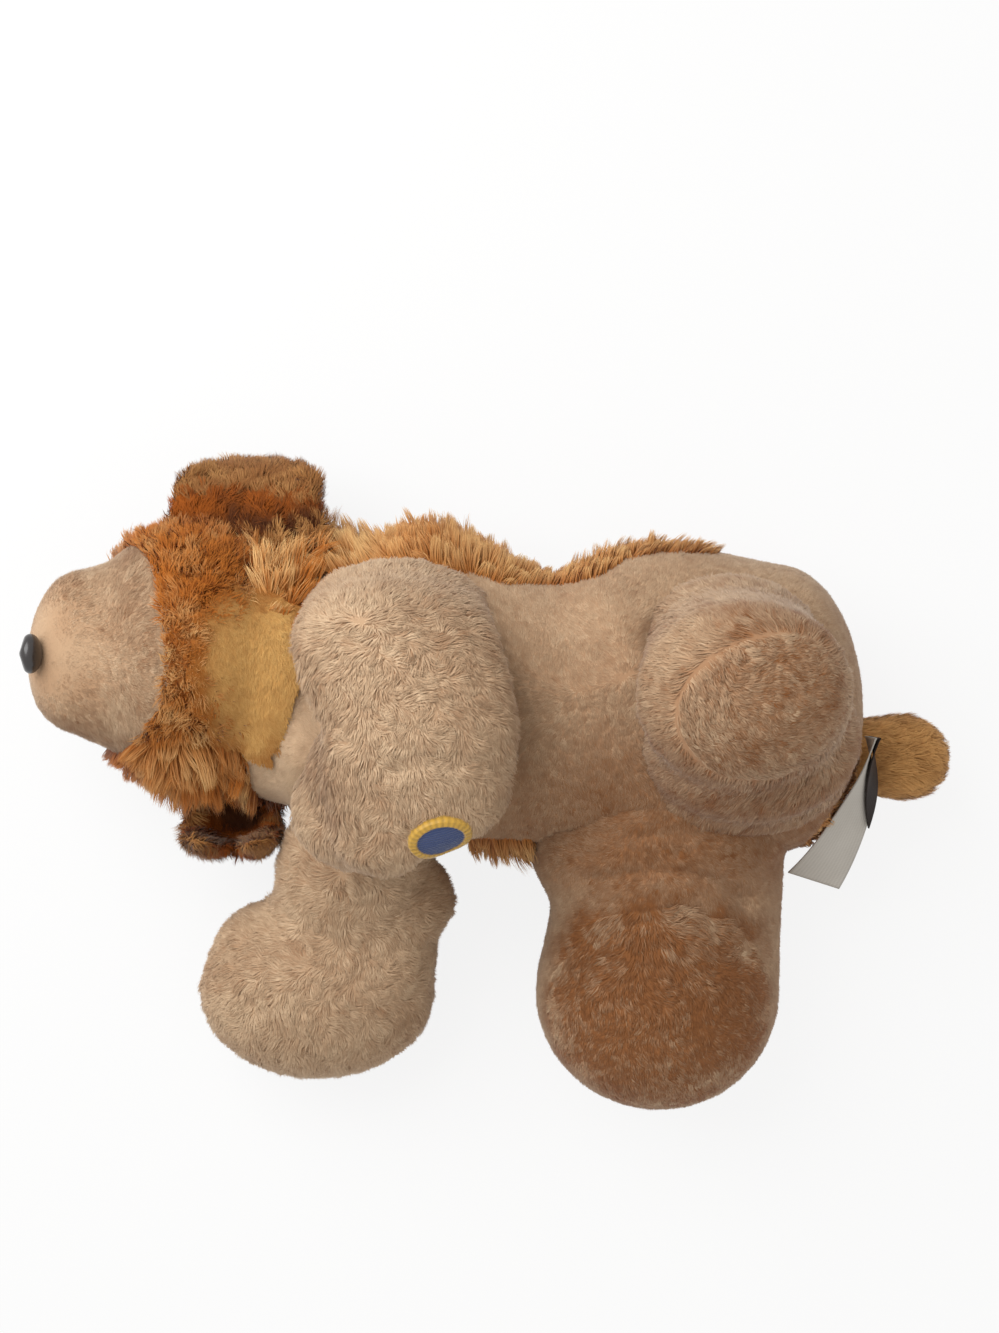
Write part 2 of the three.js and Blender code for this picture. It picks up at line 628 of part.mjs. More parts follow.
const torso = new THREE.Group().add(
  piece('belly_panel', torsoShell.intersect(overSeam), CREAM),
  piece('back_panel', torsoShell.intersect(underSeam), GOLDEN_BROWN),
  piece('throat_panel', neckFloor.intersect(overSeam), PALE_GOLD),
  piece('nape_panel', neckFloor.intersect(underSeam), GOLDEN_BROWN),
  piece('body_stuffing', bodyStuffing, STUFFING),
  piece('pellet_bag', pelletBag(0), PELLET_CLOTH),
  piece('care_label', label(CARE_LABEL_LENGTH, 0), WHITE_RIBBON),
  piece('dark_label', label(DARK_LABEL_LENGTH, -LABELS_APART), DARK_RIBBON),
);

const head = new THREE.Group().add(
  piece('head_panel', headShell.intersect(beyondSeam(seamWay.clone().negate())), GOLDEN_BROWN),
  piece('muzzle_panel', headShell.intersect(beyondSeam(seamWay)), CREAM),
  piece('head_stuffing', headStuffing, STUFFING),
  piece('nose', nose.cap, BLACK_PLASTIC),
  piece('nose_washer', nose.washer, WASHER_PLASTIC),
  piece('left_eye', leftEye.cap, BLACK_PLASTIC),
  piece('left_eye_washer', leftEye.washer, WASHER_PLASTIC),
  piece('right_eye', rightEye.cap, BLACK_PLASTIC),
  piece('right_eye_washer', rightEye.washer, WASHER_PLASTIC),
  piece('left_ear_fur', leftEar.fur, GOLDEN_BROWN),
  piece('left_ear_lining', leftEar.lining, EAR_LINING),
  piece('right_ear_fur', rightEar.fur, GOLDEN_BROWN),
  piece('right_ear_lining', rightEar.lining, EAR_LINING),
);

const limbGroup = new THREE.Group();
for (const [name, { skin, stuffing }] of Object.entries(limbs)) {
  limbGroup.add(piece(`${name}_skin`, skin, name === 'tail' ? GOLDEN_BROWN : CREAM));
  limbGroup.add(piece(`${name}_stuffing`, stuffing, STUFFING));
}
limbGroup.add(piece('paw_patch', patch, PATCH_THREAD));

const spaniel = new THREE.Group().add(torso, head, limbGroup);

export default spaniel;
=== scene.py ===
"""Looks of a stuffed toy spaniel lying on its back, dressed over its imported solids.

Tables are in millimetres in the frame of the solids: +Z up through the belly, +X to the tail
and +Y to the dog's left. Blender's objects are in metres.
"""

import logging
import math
from dataclasses import dataclass, replace
from enum import Enum
from typing import Callable, Optional, Sequence, Union

import bpy
import numpy as np
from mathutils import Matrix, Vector
from mathutils.bvhtree import BVHTree
from mathutils.kdtree import KDTree


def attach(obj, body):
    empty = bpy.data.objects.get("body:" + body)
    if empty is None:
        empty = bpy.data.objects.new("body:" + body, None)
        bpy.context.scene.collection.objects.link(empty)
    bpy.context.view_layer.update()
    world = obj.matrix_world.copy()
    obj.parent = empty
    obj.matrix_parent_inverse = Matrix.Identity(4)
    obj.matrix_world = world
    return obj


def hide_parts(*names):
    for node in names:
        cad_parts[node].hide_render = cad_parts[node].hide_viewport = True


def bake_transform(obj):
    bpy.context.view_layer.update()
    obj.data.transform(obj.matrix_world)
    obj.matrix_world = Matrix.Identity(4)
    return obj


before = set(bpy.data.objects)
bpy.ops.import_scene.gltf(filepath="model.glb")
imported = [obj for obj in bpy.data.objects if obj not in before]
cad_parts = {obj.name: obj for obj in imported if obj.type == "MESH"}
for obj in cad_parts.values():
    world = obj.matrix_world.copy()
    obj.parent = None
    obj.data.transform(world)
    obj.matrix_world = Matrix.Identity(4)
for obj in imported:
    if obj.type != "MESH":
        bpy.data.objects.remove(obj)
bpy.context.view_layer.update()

MM = 0.001
FLOOR_CLEAR = 0.3
FABRIC_CLEAR = FLOOR_CLEAR + 0.6
COVER_DEPTH = 1.2
COVERED_LENGTH = 1.8
LENGTH_LIMITS = (0.45, 1.6)
LEAN_LIMITS = (4, 86)
TONE_LIMITS = (0.02, 0.98)
UNDERSIDE_SHARE = 0.35
# Tone added to the fabric under the pile: painted shade, as if the strands shadowed it.
FABRIC_PAINTED_SHADE = 0.12
FABRIC_ALONG = 0.45
ROOT_SINK = 0.06
MOST_SINK = 0.4
WIDTH_RANGE = (0.35, 0.65)
BODY_FILL = 0.7
HEAD_FILL = 0.75
TAIL_FILL = 0.6
EAR_FILL = 0.3
PILE_MAP = "OFBake"
PLUSH_VOXEL = 3.0
SMOOTH_PASSES = 5
WAVE_COUNT = 7
WHITE = (1.0, 1.0, 1.0, 1.0)
LOG = logging.getLogger("spaniel")

Array = np.ndarray
Point = tuple[float, float, float]
Field = Callable[[Array], Array]
Region = Callable[[Array, Array], Array]
Colour = tuple[int, int, int]


def linear(colour: Colour) -> tuple[float, float, float, float]:
    """Linear colour with full alpha.

    Args:
        colour: sRGB red, green and blue from 0 to 255.

    Returns:
        The colour as a shader socket takes it.
    """
    shares = [value / 255 for value in colour]
    bent = [s / 12.92 if s <= 0.04045 else ((s + 0.055) / 1.055) ** 2.4 for s in shares]
    return (bent[0], bent[1], bent[2], 1.0)


def unit(vectors: Array) -> Array:
    """Vectors along the last axis, scaled to length one."""
    return vectors / np.maximum(np.linalg.norm(vectors, axis=-1, keepdims=True), 1e-9)


def smoothstep(low: float, high: float, values: Array) -> Array:
    """Soft step from 0 below low to 1 above high."""
    t = np.clip((values - low) / (high - low), 0, 1)
    return t * t * (3 - 2 * t)


def waves(points: Array, size: float, seed: int) -> Array:
    """Smooth random values over space, mostly between -1 and 1.

    Args:
        points: Places, in millimetres.
        size: Usual distance between crests.
        seed: Which pattern.

    Returns:
        One value for each point.
    """
    rng = np.random.default_rng(seed)
    ways = unit(rng.normal(size=(WAVE_COUNT, 3))) * rng.uniform(0.6, 1.5, (WAVE_COUNT, 1))
    phases = rng.uniform(0, math.tau, WAVE_COUNT)
    crests = np.sin(points @ ways.T * (math.tau / size) + phases)
    return crests.sum(axis=1) * math.sqrt(1.2 / WAVE_COUNT)


class Shade:
    """A value, colour or vector leaving a node's socket, with Python's operators."""

    def __init__(self, sheet: "NodeSheet", socket: bpy.types.NodeSocket) -> None:
        """Keeps the socket and the sheet that it is on."""
        self.sheet = sheet
        self.socket = socket

    def _math(self, operation: str, other: "Mixable", flip: bool = False) -> "Shade":
        """Value of one Math node, with the other value first if it is flipped."""
        first, second = (other, self) if flip else (self, other)
        return self.sheet.node("ShaderNodeMath", {"operation": operation}, {0: first, 1: second})

    def __add__(self, other: "Mixable") -> "Shade":
        """Sum."""
        return self._math("ADD", other)

    __radd__ = __add__

    def __mul__(self, other: "Mixable") -> "Shade":
        """Product."""
        return self._math("MULTIPLY", other)

    __rmul__ = __mul__

    def __sub__(self, other: "Mixable") -> "Shade":
        """Difference."""
        return self._math("SUBTRACT", other)

    def __rsub__(self, other: "Mixable") -> "Shade":
        """Difference with the value second."""
        return self._math("SUBTRACT", other, flip=True)

    def __pow__(self, other: "Mixable") -> "Shade":
        """Power."""
        return self._math("POWER", other)


Mixable = Union[Shade, float, tuple]


class NodeSheet:
    """The nodes of one material, or of the sky."""

    def __init__(self, name: str, sky: Optional[bpy.types.World] = None) -> None:
        """Makes a material without nodes, or clears the sky's nodes."""
        self.material = bpy.data.materials.new(name) if sky is None else sky
        self.material.use_nodes = True
        self.tree = self.material.node_tree
        self.tree.nodes.clear()

    def node(self, kind: str, settings: dict, inputs: dict, output: Union[int, str] = 0) -> Shade:
        """Adds a node.

        Args:
            kind: Blender's type of node.
            settings: Its properties.
            inputs: Values or links of its sockets, by name or place.
            output: Which output to return.

        Returns:
            The chosen output.
        """
        made = self.tree.nodes.new(kind)
        for key, value in settings.items():
            setattr(made, key, value)
        for key, value in inputs.items():
            if isinstance(value, Shade):
                self.tree.links.new(value.socket, made.inputs[key])
            else:
                made.inputs[key].default_value = value
        return Shade(self, made.outputs[output])

    def mixed(self, first: Mixable, second: Mixable, share: Mixable, blend: str = "MIX") -> Shade:
        """Mix of two colours, from the first at share 0 to the second at share 1."""
        settings = {"data_type": "RGBA", "blend_type": blend}
        return self.node("ShaderNodeMix", settings, {0: share, 6: first, 7: second}, output=2)

    def noise(self, scale: float, detail: float, place: Optional[Shade] = None) -> Shade:
        """Noise between 0 and 1 over a place, or over the object itself.

        Args:
            scale: Features in a unit of length.
            detail: Octaves.
            place: Vector that the noise is read at.

        Returns:
            The noise's value.
        """
        if place is None:
            place = self.node("ShaderNodeTexCoord", {}, {}, output="Object")
        inputs = {"Vector": place, "Scale": scale, "Detail": detail}
        return self.node("ShaderNodeTexNoise", {}, inputs)

    def bumped(self, height: Shade, strength: float, distance: float) -> Shade:
        """Normal bent by a height from 0 to 1, where 1 stands for a distance in metres."""
        inputs = {"Strength": strength, "Distance": distance, "Height": height}
        return self.node("ShaderNodeBump", {}, inputs, "Normal")

    def sine(self, value: Shade) -> Shade:
        """Sine of a value."""
        return self.node("ShaderNodeMath", {"operation": "SINE"}, {0: value})

    def pile_map(self) -> tuple[Shade, Shade, Shade]:
        """Place on the pile map, and its two coordinates."""
        place = self.node("ShaderNodeUVMap", {"uv_map": PILE_MAP}, {})
        first, second = (self.node("ShaderNodeSeparateXYZ", {}, {0: place}, axis) for axis in "XY")
        return place, first, second

    def finished(self, **sockets: Mixable) -> bpy.types.Material:
        """Closes the sheet with a Principled shader.

        Args:
            sockets: Its sockets, with _ for each space.

        Returns:
            The material.
        """
        inputs = {name.replace("_", " "): value for name, value in sockets.items()}
        shader = self.node("ShaderNodeBsdfPrincipled", {}, inputs)
        self.node_output(shader)
        return self.material

    def node_output(self, shader: Shade, kind: str = "ShaderNodeOutputMaterial") -> None:
        """Links a shader to the surface of the material, or of the sky."""
        output = self.tree.nodes.new(kind)
        self.tree.links.new(shader.socket, output.inputs["Surface"])

    def shown(self) -> Shade:
        """1 for what the camera sees, also in gloss or glass, and 0 for what lights the toy."""
        rays = ("Is Camera Ray", "Is Glossy Ray", "Is Transmission Ray")
        camera, gloss, glass = (self.node("ShaderNodeLightPath", {}, {}, ray) for ray in rays)
        return camera + gloss + glass


@dataclass(frozen=True)
class Finish:
    """What a piece is made of."""

    name: str
    slot: str

    def material(self) -> bpy.types.Material:
        """Material of the finish."""
        raise NotImplementedError


@dataclass(frozen=True)
class Plush(Finish):
    """Pile whose colour runs along each strand and differs from strand to strand."""

    root_pale: Colour
    root_deep: Colour
    tip_pale: Colour
    tip_deep: Colour
    roughness: float = 0.8
    sheen: float = 0.18
    fade: float = 0.8
    fibres: float = 70.0
    streak: Colour = (120, 104, 92)

    def material(self) -> bpy.types.Material:
        """Material that reads the strand's tone and the place along it from the pile map."""
        sheet = NodeSheet(self.name)
        place, tone, along = sheet.pile_map()
        root = sheet.mixed(linear(self.root_pale), linear(self.root_deep), tone)
        tip = sheet.mixed(linear(self.tip_pale), linear(self.tip_deep), tone)
        strand = sheet.mixed(root, tip, along ** self.fade)
        fibres = sheet.noise(self.fibres, 2.0, place)
        streaked = sheet.mixed(strand, linear(self.streak), (fibres - 0.35) * 0.3, "MULTIPLY")
        return sheet.finished(
            Base_Color=streaked,
            Roughness=self.roughness + 0.12 * (1 - along),
            Specular_IOR_Level=0.25,
            Sheen_Weight=self.sheen,
            Sheen_Roughness=0.45,
        )


@dataclass(frozen=True)
class Moulded(Finish):
    """Moulded plastic with a fine, slightly worn surface."""

    colour: Colour
    worn: Colour
    roughness: float
    coat: float
    mottle: float = 900.0
    grain: float = 6000.0

    def material(self) -> bpy.types.Material:
        """Plastic with faint mottling, and gloss that varies a little."""
        sheet = NodeSheet(self.name)
        mottle = sheet.noise(self.mottle, 4.0)
        fine = sheet.noise(self.grain, 2.0)
        return sheet.finished(
            Base_Color=sheet.mixed(linear(self.colour), linear(self.worn), mottle * 0.5),
            Roughness=self.roughness + 0.15 * mottle,
            Coat_Weight=self.coat,
            Coat_Roughness=0.08,
            Normal=sheet.bumped(fine, 0.08, 0.00005),
        )


@dataclass(frozen=True)
class Ribbon(Finish):
    """Woven ribbon with fine cross threads and a firm selvedge."""

    colour: Colour
    shadow: Colour
    roughness: float
    warp: float = 260.0
    weft: float = 620.0

    def material(self) -> bpy.types.Material:
        """Ribbon whose threads cross in the pile map's own directions."""
        sheet = NodeSheet(self.name)
        place, across, along = sheet.pile_map()
        weave = 0.5 + 0.25 * sheet.sine(across * self.warp) + 0.25 * sheet.sine(along * self.weft)
        soft = sheet.noise(5.0, 3.0, place)
        share = 0.35 * weave + 0.5 * soft - 0.1
        shade = sheet.mixed(linear(self.colour), linear(self.shadow), share)
        return sheet.finished(
            Base_Color=shade,
            Roughness=self.roughness + 0.2 * soft,
            Specular_IOR_Level=0.15,
            Normal=sheet.bumped(weave, 0.35, 0.0001),
        )


@dataclass(frozen=True)
class Thread(Finish):
    """Satin stitches of shiny embroidery thread."""

    field: Colour
    rim: Colour
    stitches: float = 180.0
    gap: Colour = (60, 58, 56)

    def material(self) -> bpy.types.Material:
        """Thread that changes colour at the rim, with a line between stitches."""
        sheet = NodeSheet(self.name)
        place, across, outward = sheet.pile_map()
        span = {"Value": outward, "From Min": 0.7, "From Max": 0.76}
        edge = sheet.node("ShaderNodeMapRange", {"interpolation_type": "SMOOTHSTEP"}, span)
        stitch = sheet.sine(across * self.stitches)
        stray = sheet.noise(40.0, 3.0, place)
        colour = sheet.mixed(linear(self.field), linear(self.rim), edge)
        between = 0.3 * stitch * stray + 0.25 * stray
        shaded = sheet.mixed(colour, linear(self.gap), between, "MULTIPLY")
        return sheet.finished(
            Base_Color=shaded,
            Roughness=0.35 + 0.3 * stray,
            Sheen_Weight=0.3,
            Normal=sheet.bumped(stitch, 0.3, 0.0001),
        )


# Cream roots are paler than the tips: painted light that offsets the shade between the strands.
CREAM = Plush(
    "cream_plush", "cream_plush", (232, 201, 165), (164, 104, 56), (214, 185, 151), (132, 82, 44)
)
GOLDEN = Plush(
    name="golden_brown_plush",
    slot="golden_brown_plush",
    root_pale=(190, 116, 46),
    root_deep=(150, 76, 18),
    tip_pale=(248, 210, 146),
    tip_deep=(212, 126, 42),
    fade=1.5,
)
BROWN = Plush(
    name="brown_plush",
    slot="golden_brown_plush",
    root_pale=(206, 144, 80),
    root_deep=(118, 70, 30),
    tip_pale=(236, 184, 116),
    tip_deep=(160, 104, 54),
)
PALE_GOLD = Plush(
    name="pale_gold_plush",
    slot="pale_gold_plush",
    root_pale=(222, 172, 98),
    root_deep=(160, 92, 30),
    tip_pale=(238, 194, 120),
    tip_deep=(176, 106, 40),
)
# The lining's deep colours also paint the shade in the ears' hollow and under the left ear's edge.
LINING = Plush("ear_lining", "ear_lining", (148, 74, 14), (70, 34, 9), (176, 92, 20), (80, 40, 11))
BLACK_PLASTIC = Moulded("black_plastic", "black_plastic", (20, 15, 14), (52, 42, 40), 0.3, 0.5)
EYE_PLASTIC = Moulded("eye_plastic", "black_plastic", (16, 11, 9), (40, 26, 18), 0.1, 1.0)
WASHER_PLASTIC = Moulded(
    "washer_plastic", "washer_plastic", (230, 230, 226), (205, 203, 196), roughness=0.45, coat=0.0
)
WHITE_RIBBON = Ribbon("white_ribbon", "white_ribbon", (214, 208, 199), (170, 163, 153), 0.45)
# Near-black ribbon: painted shade standing for the inside of the folded care label.
PAINTED_SHADE_RIBBON = Ribbon("dark_ribbon", "dark_ribbon", (46, 36, 32), (24, 19, 17), 0.5)
PATCH_THREAD = Thread("patch_thread", "patch_thread", (40, 62, 112), (206, 160, 56))


def spline(knots: Array, t: Array) -> Array:
    """Smooth curve through knots.

    Args:
        knots: Points to pass through, one a row.
        t: Places along the curve, from 0 to 1.

    Returns:
        One row for each place.
    """
    spans = len(knots) - 1
    padded = np.vstack([2 * knots[0] - knots[1], knots, 2 * knots[-1] - knots[-2]])
    place = np.clip(t * spans, 0, spans - 1e-9)
    index = place.astype(int)
    f = (place - index)[:, None]
    a, b, c, d = (padded[index + step] for step in range(4))
    square = (2 * a - 5 * b + 4 * c - d) * f**2
    cube = (3 * b - 3 * c + d - a) * f**3
    return 0.5 * (2 * b + (c - a) * f + square + cube)


def lofted(rings: Array) -> tuple[Array, list]:
    """Closed loft through rings of points.

    Args:
        rings: Rings, points and coordinates, as a three-way array.

    Returns:
        The points and the faces.
    """
    count, sides, _ = rings.shape
    faces = []
    for ring in range(count - 1):
        near, far = ring * sides, (ring + 1) * sides
        for side in range(sides):
            following = (side + 1) % sides
            faces.append((near + side, near + following, far + following, far + side))
    faces.append(tuple(reversed(range(sides))))
    faces.append(tuple(range((count - 1) * sides, count * sides)))
    return rings.reshape(-1, 3), faces


def ball(rows: int, columns: int, trim: float) -> Array:
    """Ball of radius one, as rings about its last axis.

    Args:
        rows: Number of rings.
        columns: Points of a ring.
        trim: Angle that is left open at each end.

    Returns:
        Rings, points and coordinates, as a three-way array.
    """
    tilt = np.linspace(trim, math.pi - trim, rows)[:, None]
    turn = np.linspace(0, math.tau, columns, endpoint=False)[None, :]
    level = np.sin(tilt)
    return np.stack([level * np.cos(turn), level * np.sin(turn), -np.cos(tilt) + 0 * turn], axis=-1)


@dataclass(frozen=True)
class Section:
    """One oval section of a stuffed tube."""

    x: float
    y: float
    z: float
    half_width: float
    half_depth: float


@dataclass(frozen=True)
class Oval:
    """A stuffed oval with three half-sizes."""

    centre: Point
    half: Point

    def mesh(self, inset: float) -> tuple[Array, list]:
        """Points and faces of the oval, drawn in by inset."""
        unit_ball = ball(rows=24, columns=40, trim=0.02)
        return lofted(np.array(self.centre) + unit_ball * (np.array(self.half) - inset))


@dataclass(frozen=True)
class Tube:
    """A stuffed tube that swells along a smooth spine, with rounded ends."""

    sections: tuple[Section, ...]
    sideways: Point
    start_round: float
    end_round: float

    def mesh(self, inset: float) -> tuple[Array, list]:
        """Points and faces of the tube, drawn in by inset."""
        sides, cap, steps = 48, 10, 12 * (len(self.sections) - 1)
        knots = np.array([(s.x, s.y, s.z, s.half_width, s.half_depth) for s in self.sections])
        bend = np.linspace(math.radians(88), 0, cap, endpoint=False)
        t = np.concatenate([np.zeros(cap), np.linspace(0, 1, steps + 1), np.ones(cap)])
        scale = np.concatenate([np.cos(bend), np.ones(steps + 1), np.cos(bend[::-1])])
        start, end = self.start_round - inset, self.end_round - inset
        before, after = -start * np.sin(bend), end * np.sin(bend[::-1])
        shift = np.concatenate([before, np.zeros(steps + 1), after])
        rows = spline(knots, t)
        tiny = 1e-3
        ahead = spline(knots, np.minimum(t + tiny, 1)) - spline(knots, np.maximum(t - tiny, 0))
        along = unit(ahead[:, :3])
        side = np.array(self.sideways)
        across = unit(side - along * (along @ side)[:, None])
        through = np.cross(along, across)
        angle = np.linspace(0, math.tau, sides, endpoint=False)
        wide = (rows[:, 3] - inset) * scale
        deep = (rows[:, 4] - inset) * scale
        centre = rows[:, :3] + along * shift[:, None]
        rings = (
            centre[:, None]
            + across[:, None] * (wide[:, None] * np.cos(angle))[..., None]
            + through[:, None] * (deep[:, None] * np.sin(angle))[..., None]
        )
        return lofted(rings)


@dataclass(frozen=True)
class Loft:
    """A closed loft through given rings."""

    rings: Array

    def mesh(self, inset: float) -> tuple[Array, list]:
        """Points and faces of the loft, which has no inset."""
        return lofted(self.rings)


Form = Union[Oval, Tube, Loft]


@dataclass(frozen=True)
class Crease:
    """A line in plan along which the fabric is drawn in, or out where the depth is negative."""

    path: tuple[tuple[float, float], ...]
    depth: float
    width: float

    def distance(self, points: Array) -> Array:
        """Distance in plan from each point to the line."""
        found = np.full(len(points), np.inf)
        for first, second in zip(self.path, self.path[1:]):
            start, way = np.array(first), np.subtract(second, first)
            share = np.clip((points[:, :2] - start) @ way / (way @ way), 0, 1)
            away = np.linalg.norm(points[:, :2] - start - share[:, None] * way, axis=1)
            found = np.minimum(found, away)
        return found


def linked(name: str, mesh: bpy.types.Mesh) -> bpy.types.Object:
    """Object in the scene that holds a mesh."""
    made = bpy.data.objects.new(name, mesh)
    bpy.context.scene.collection.objects.link(made)
    return made


def settled(obj: bpy.types.Object) -> None:
    """Replaces an object's mesh by what its modifiers make of it."""
    shown = obj.evaluated_get(bpy.context.evaluated_depsgraph_get())
    mesh = bpy.data.meshes.new_from_object(shown)
    old = obj.data
    obj.modifiers.clear()
    obj.data = mesh
    bpy.data.meshes.remove(old)


class Skin:
    """The sewn fabric of one stuffed part: a closed, smooth mesh under the pile."""

    def __init__(
        self,
        name: str,
        forms: Sequence[Form],
        inset: float,
        creases: Sequence[Crease] = (),
        join: bool = True,
    ) -> None:
        """Joins the forms into one closed mesh.

        Args:
            name: Name of the part.
            forms: Stuffed forms that run into each other.
            inset: How far the fabric lies inside the outer shape of the pile.
            creases: Lines where the fabric is drawn in.
            join: Whether the forms are fused into one even mesh.
        """
        self.covers: Sequence["Skin"] = ()
        self.creases = creases
        points, faces = [], []
        for form in forms:
            more, rows = form.mesh(inset)
            shift = sum(len(block) for block in points)
            points.append(more)
            faces.extend(tuple(corner + shift for corner in row) for row in rows)
        mesh = bpy.data.meshes.new(name)
        mesh.from_pydata(np.vstack(points) * MM, [], faces)
        self.obj = linked(name, mesh)
        if join:
            remesh = self.obj.modifiers.new("Remesh", "REMESH")
            remesh.mode = "VOXEL"
            remesh.voxel_size = PLUSH_VOXEL * MM
            smooth = self.obj.modifiers.new("Smooth", "SMOOTH")
            smooth.iterations = SMOOTH_PASSES
            settled(self.obj)

    def places(self) -> Array:
        """The mesh's points, in millimetres."""
        flat = np.empty(len(self.obj.data.vertices) * 3, np.float32)
        self.obj.data.vertices.foreach_get("co", flat)
        return flat.reshape(-1, 3).astype(float) / MM

    def move(self, points: Array) -> None:
        """Puts the mesh's points at new places, in millimetres."""
        self.obj.data.vertices.foreach_set("co", (points * MM).astype(np.float32).ravel())
        self.obj.data.update()

    def normals(self) -> Array:
        """The outward direction at each point."""
        flat = np.empty(len(self.obj.data.vertices) * 3, np.float32)
        self.obj.data.vertex_normals.foreach_get("vector", flat)
        return flat.reshape(-1, 3).astype(float)

    def sew(self) -> None:
        """Refines the mesh, presses it on the floor and draws the creases in."""
        fine = self.obj.modifiers.new("Fine", "SUBSURF")
        fine.levels = 1
        settled(self.obj)
        points, normals = self.places(), self.normals()
        upward = smoothstep(0.05, 0.35, normals[:, 2])
        for crease in self.creases:
            depth = crease.depth * np.exp(-((crease.distance(points) / crease.width) ** 2)) * upward
            points = points - normals * depth[:, None]
        points[:, 2] = np.maximum(points[:, 2], FABRIC_CLEAR)
        self.move(points)
        self.points = points
        self.outward = self.normals()
        self.obj.data.calc_loop_triangles()
        flat = np.empty(len(self.obj.data.loop_triangles) * 3, np.int32)
        self.obj.data.loop_triangles.foreach_get("vertices", flat)
        self.triangles = flat.reshape(-1, 3)
        self.quads = [tuple(face.vertices) for face in self.obj.data.polygons]
        self.tree = BVHTree.FromPolygons([tuple(p) for p in points], self.quads)
        bpy.data.objects.remove(self.obj)

    def inside(self, points: Array, depth: float) -> Array:
        """Which points lie inside the part by more than a depth.

        Args:
            points: Places to test.
            depth: How far inside counts.

        Returns:
            True for each point that is inside.
        """
        low, high = self.points.min(0), self.points.max(0)
        near = np.flatnonzero(((points > low) & (points < high)).all(1))
        found = np.zeros(len(points), bool)
        for index in near:
            place = Vector(points[index])
            spot, normal, _, _ = self.tree.find_nearest(place)
            found[index] = (place - spot).dot(normal) < -depth
        return found


def stuffed(
    skins: Sequence[Skin],
    pressure: float = 4.0,
    slack: float = 0.5,
    most: float = 1.3,
    frames: int = 20,
) -> None:
    """Fills slack skins as cloth under pressure, and keeps where the cloth comes to rest.

    Args:
        skins: Skins that are filled side by side.
        pressure: Pressure of the stuffing.
        slack: How far the empty skins lie inside their full shape, in millimetres.
        most: Furthest that a point may move, in millimetres.
        frames: Steps of the simulation.
    """
    scene = bpy.context.scene
    for skin in skins:
        skin.move(skin.places() - skin.normals() * slack)
        cloth = skin.obj.modifiers.new("Cloth", "CLOTH")
        cloth.settings.use_pressure = True
        cloth.settings.uniform_pressure_force = pressure
        cloth.settings.effector_weights.gravity = 0
        cloth.collision_settings.use_collision = False
        cloth.point_cache.frame_start = 1
        cloth.point_cache.frame_end = frames
    for step in range(1, frames + 1):
        scene.frame_set(step)
    depsgraph = bpy.context.evaluated_depsgraph_get()
    for skin in skins:
        before = skin.places()
        shown = skin.obj.evaluated_get(depsgraph).data
        flat = np.empty(len(before) * 3, np.float32)
        shown.vertices.foreach_get("co", flat)
        moved = flat.reshape(-1, 3) / MM - before
        length = np.linalg.norm(moved, axis=1, keepdims=True)
        skin.obj.modifiers.clear()
        skin.move(before + moved * np.minimum(1, most / np.maximum(length, 1e-9)))
        LOG.info("%s filled by %.2f mm", skin.obj.name, float(np.minimum(length, most).mean()))
    scene.frame_set(1)


class Lay(Enum):
    """How the pile is brushed."""

    ALONG = "along"
    OUT_FROM = "out from"


@dataclass(frozen=True)
class Comb:
    """Which way the pile lies: along a direction, or out from a point, with a wandering swirl."""

    lay: Lay
    way: Point
    twist: float = 0.0
    wander: float = 0.5
    size: float = 18.0
    seed: int = 1

    def ways(self, roots: Array, normals: Array) -> Array:
        """Unit direction along the fabric at each root.

        Args:
            roots: Places of the roots.
            normals: Outward directions there.

        Returns:
            One direction for each root.
        """
        target = np.array(self.way, float)
        brushed = np.broadcast_to(target, roots.shape)
        if self.lay is Lay.OUT_FROM:
            brushed = roots - target
        flat = unit(brushed - normals * (brushed * normals).sum(1, keepdims=True))
        level = smoothstep(0.3, 0.9, normals[:, 2])
        turn = (self.twist + self.wander * level * waves(roots, self.size, self.seed))[:, None]
        return unit(flat * np.cos(turn) + np.cross(normals, flat) * np.sin(turn))


@dataclass(frozen=True)
class Coat:
    """How one kind of pile grows."""

    length: float
    per_mm2: float
    width: float
    root_lean: float
    tip_lean: float
    tuft: float
    gather: float
    relief: float
    unruly: float = 0.25
    vary: float = 0.16
    joints: int = 2
    mottle: float = 0.1
    twist: float = 0.2
    lift: float = 8.0


@dataclass
class Pile:
    """Strands of pile as arrays, in millimetres: flat blades that taper to a point."""

    points: Array
    normals: Array
    places: Array
    joints: int

    @property
    def corners(self) -> int:
        """Points of one strand."""
        return 2 * self.joints + 1

    def faces(self) -> tuple[Array, Array]:
        """Corner numbers and corner counts of one strand's faces."""
        loops: list[int] = []
        for joint in range(self.joints - 1):
            first = 2 * joint
            loops += [first, first + 1, first + 3, first + 2]
        last = 2 * (self.joints - 1)
        loops += [last, last + 1, last + 2]
        counts = [4] * (self.joints - 1) + [3]
        return np.array(loops), np.array(counts)


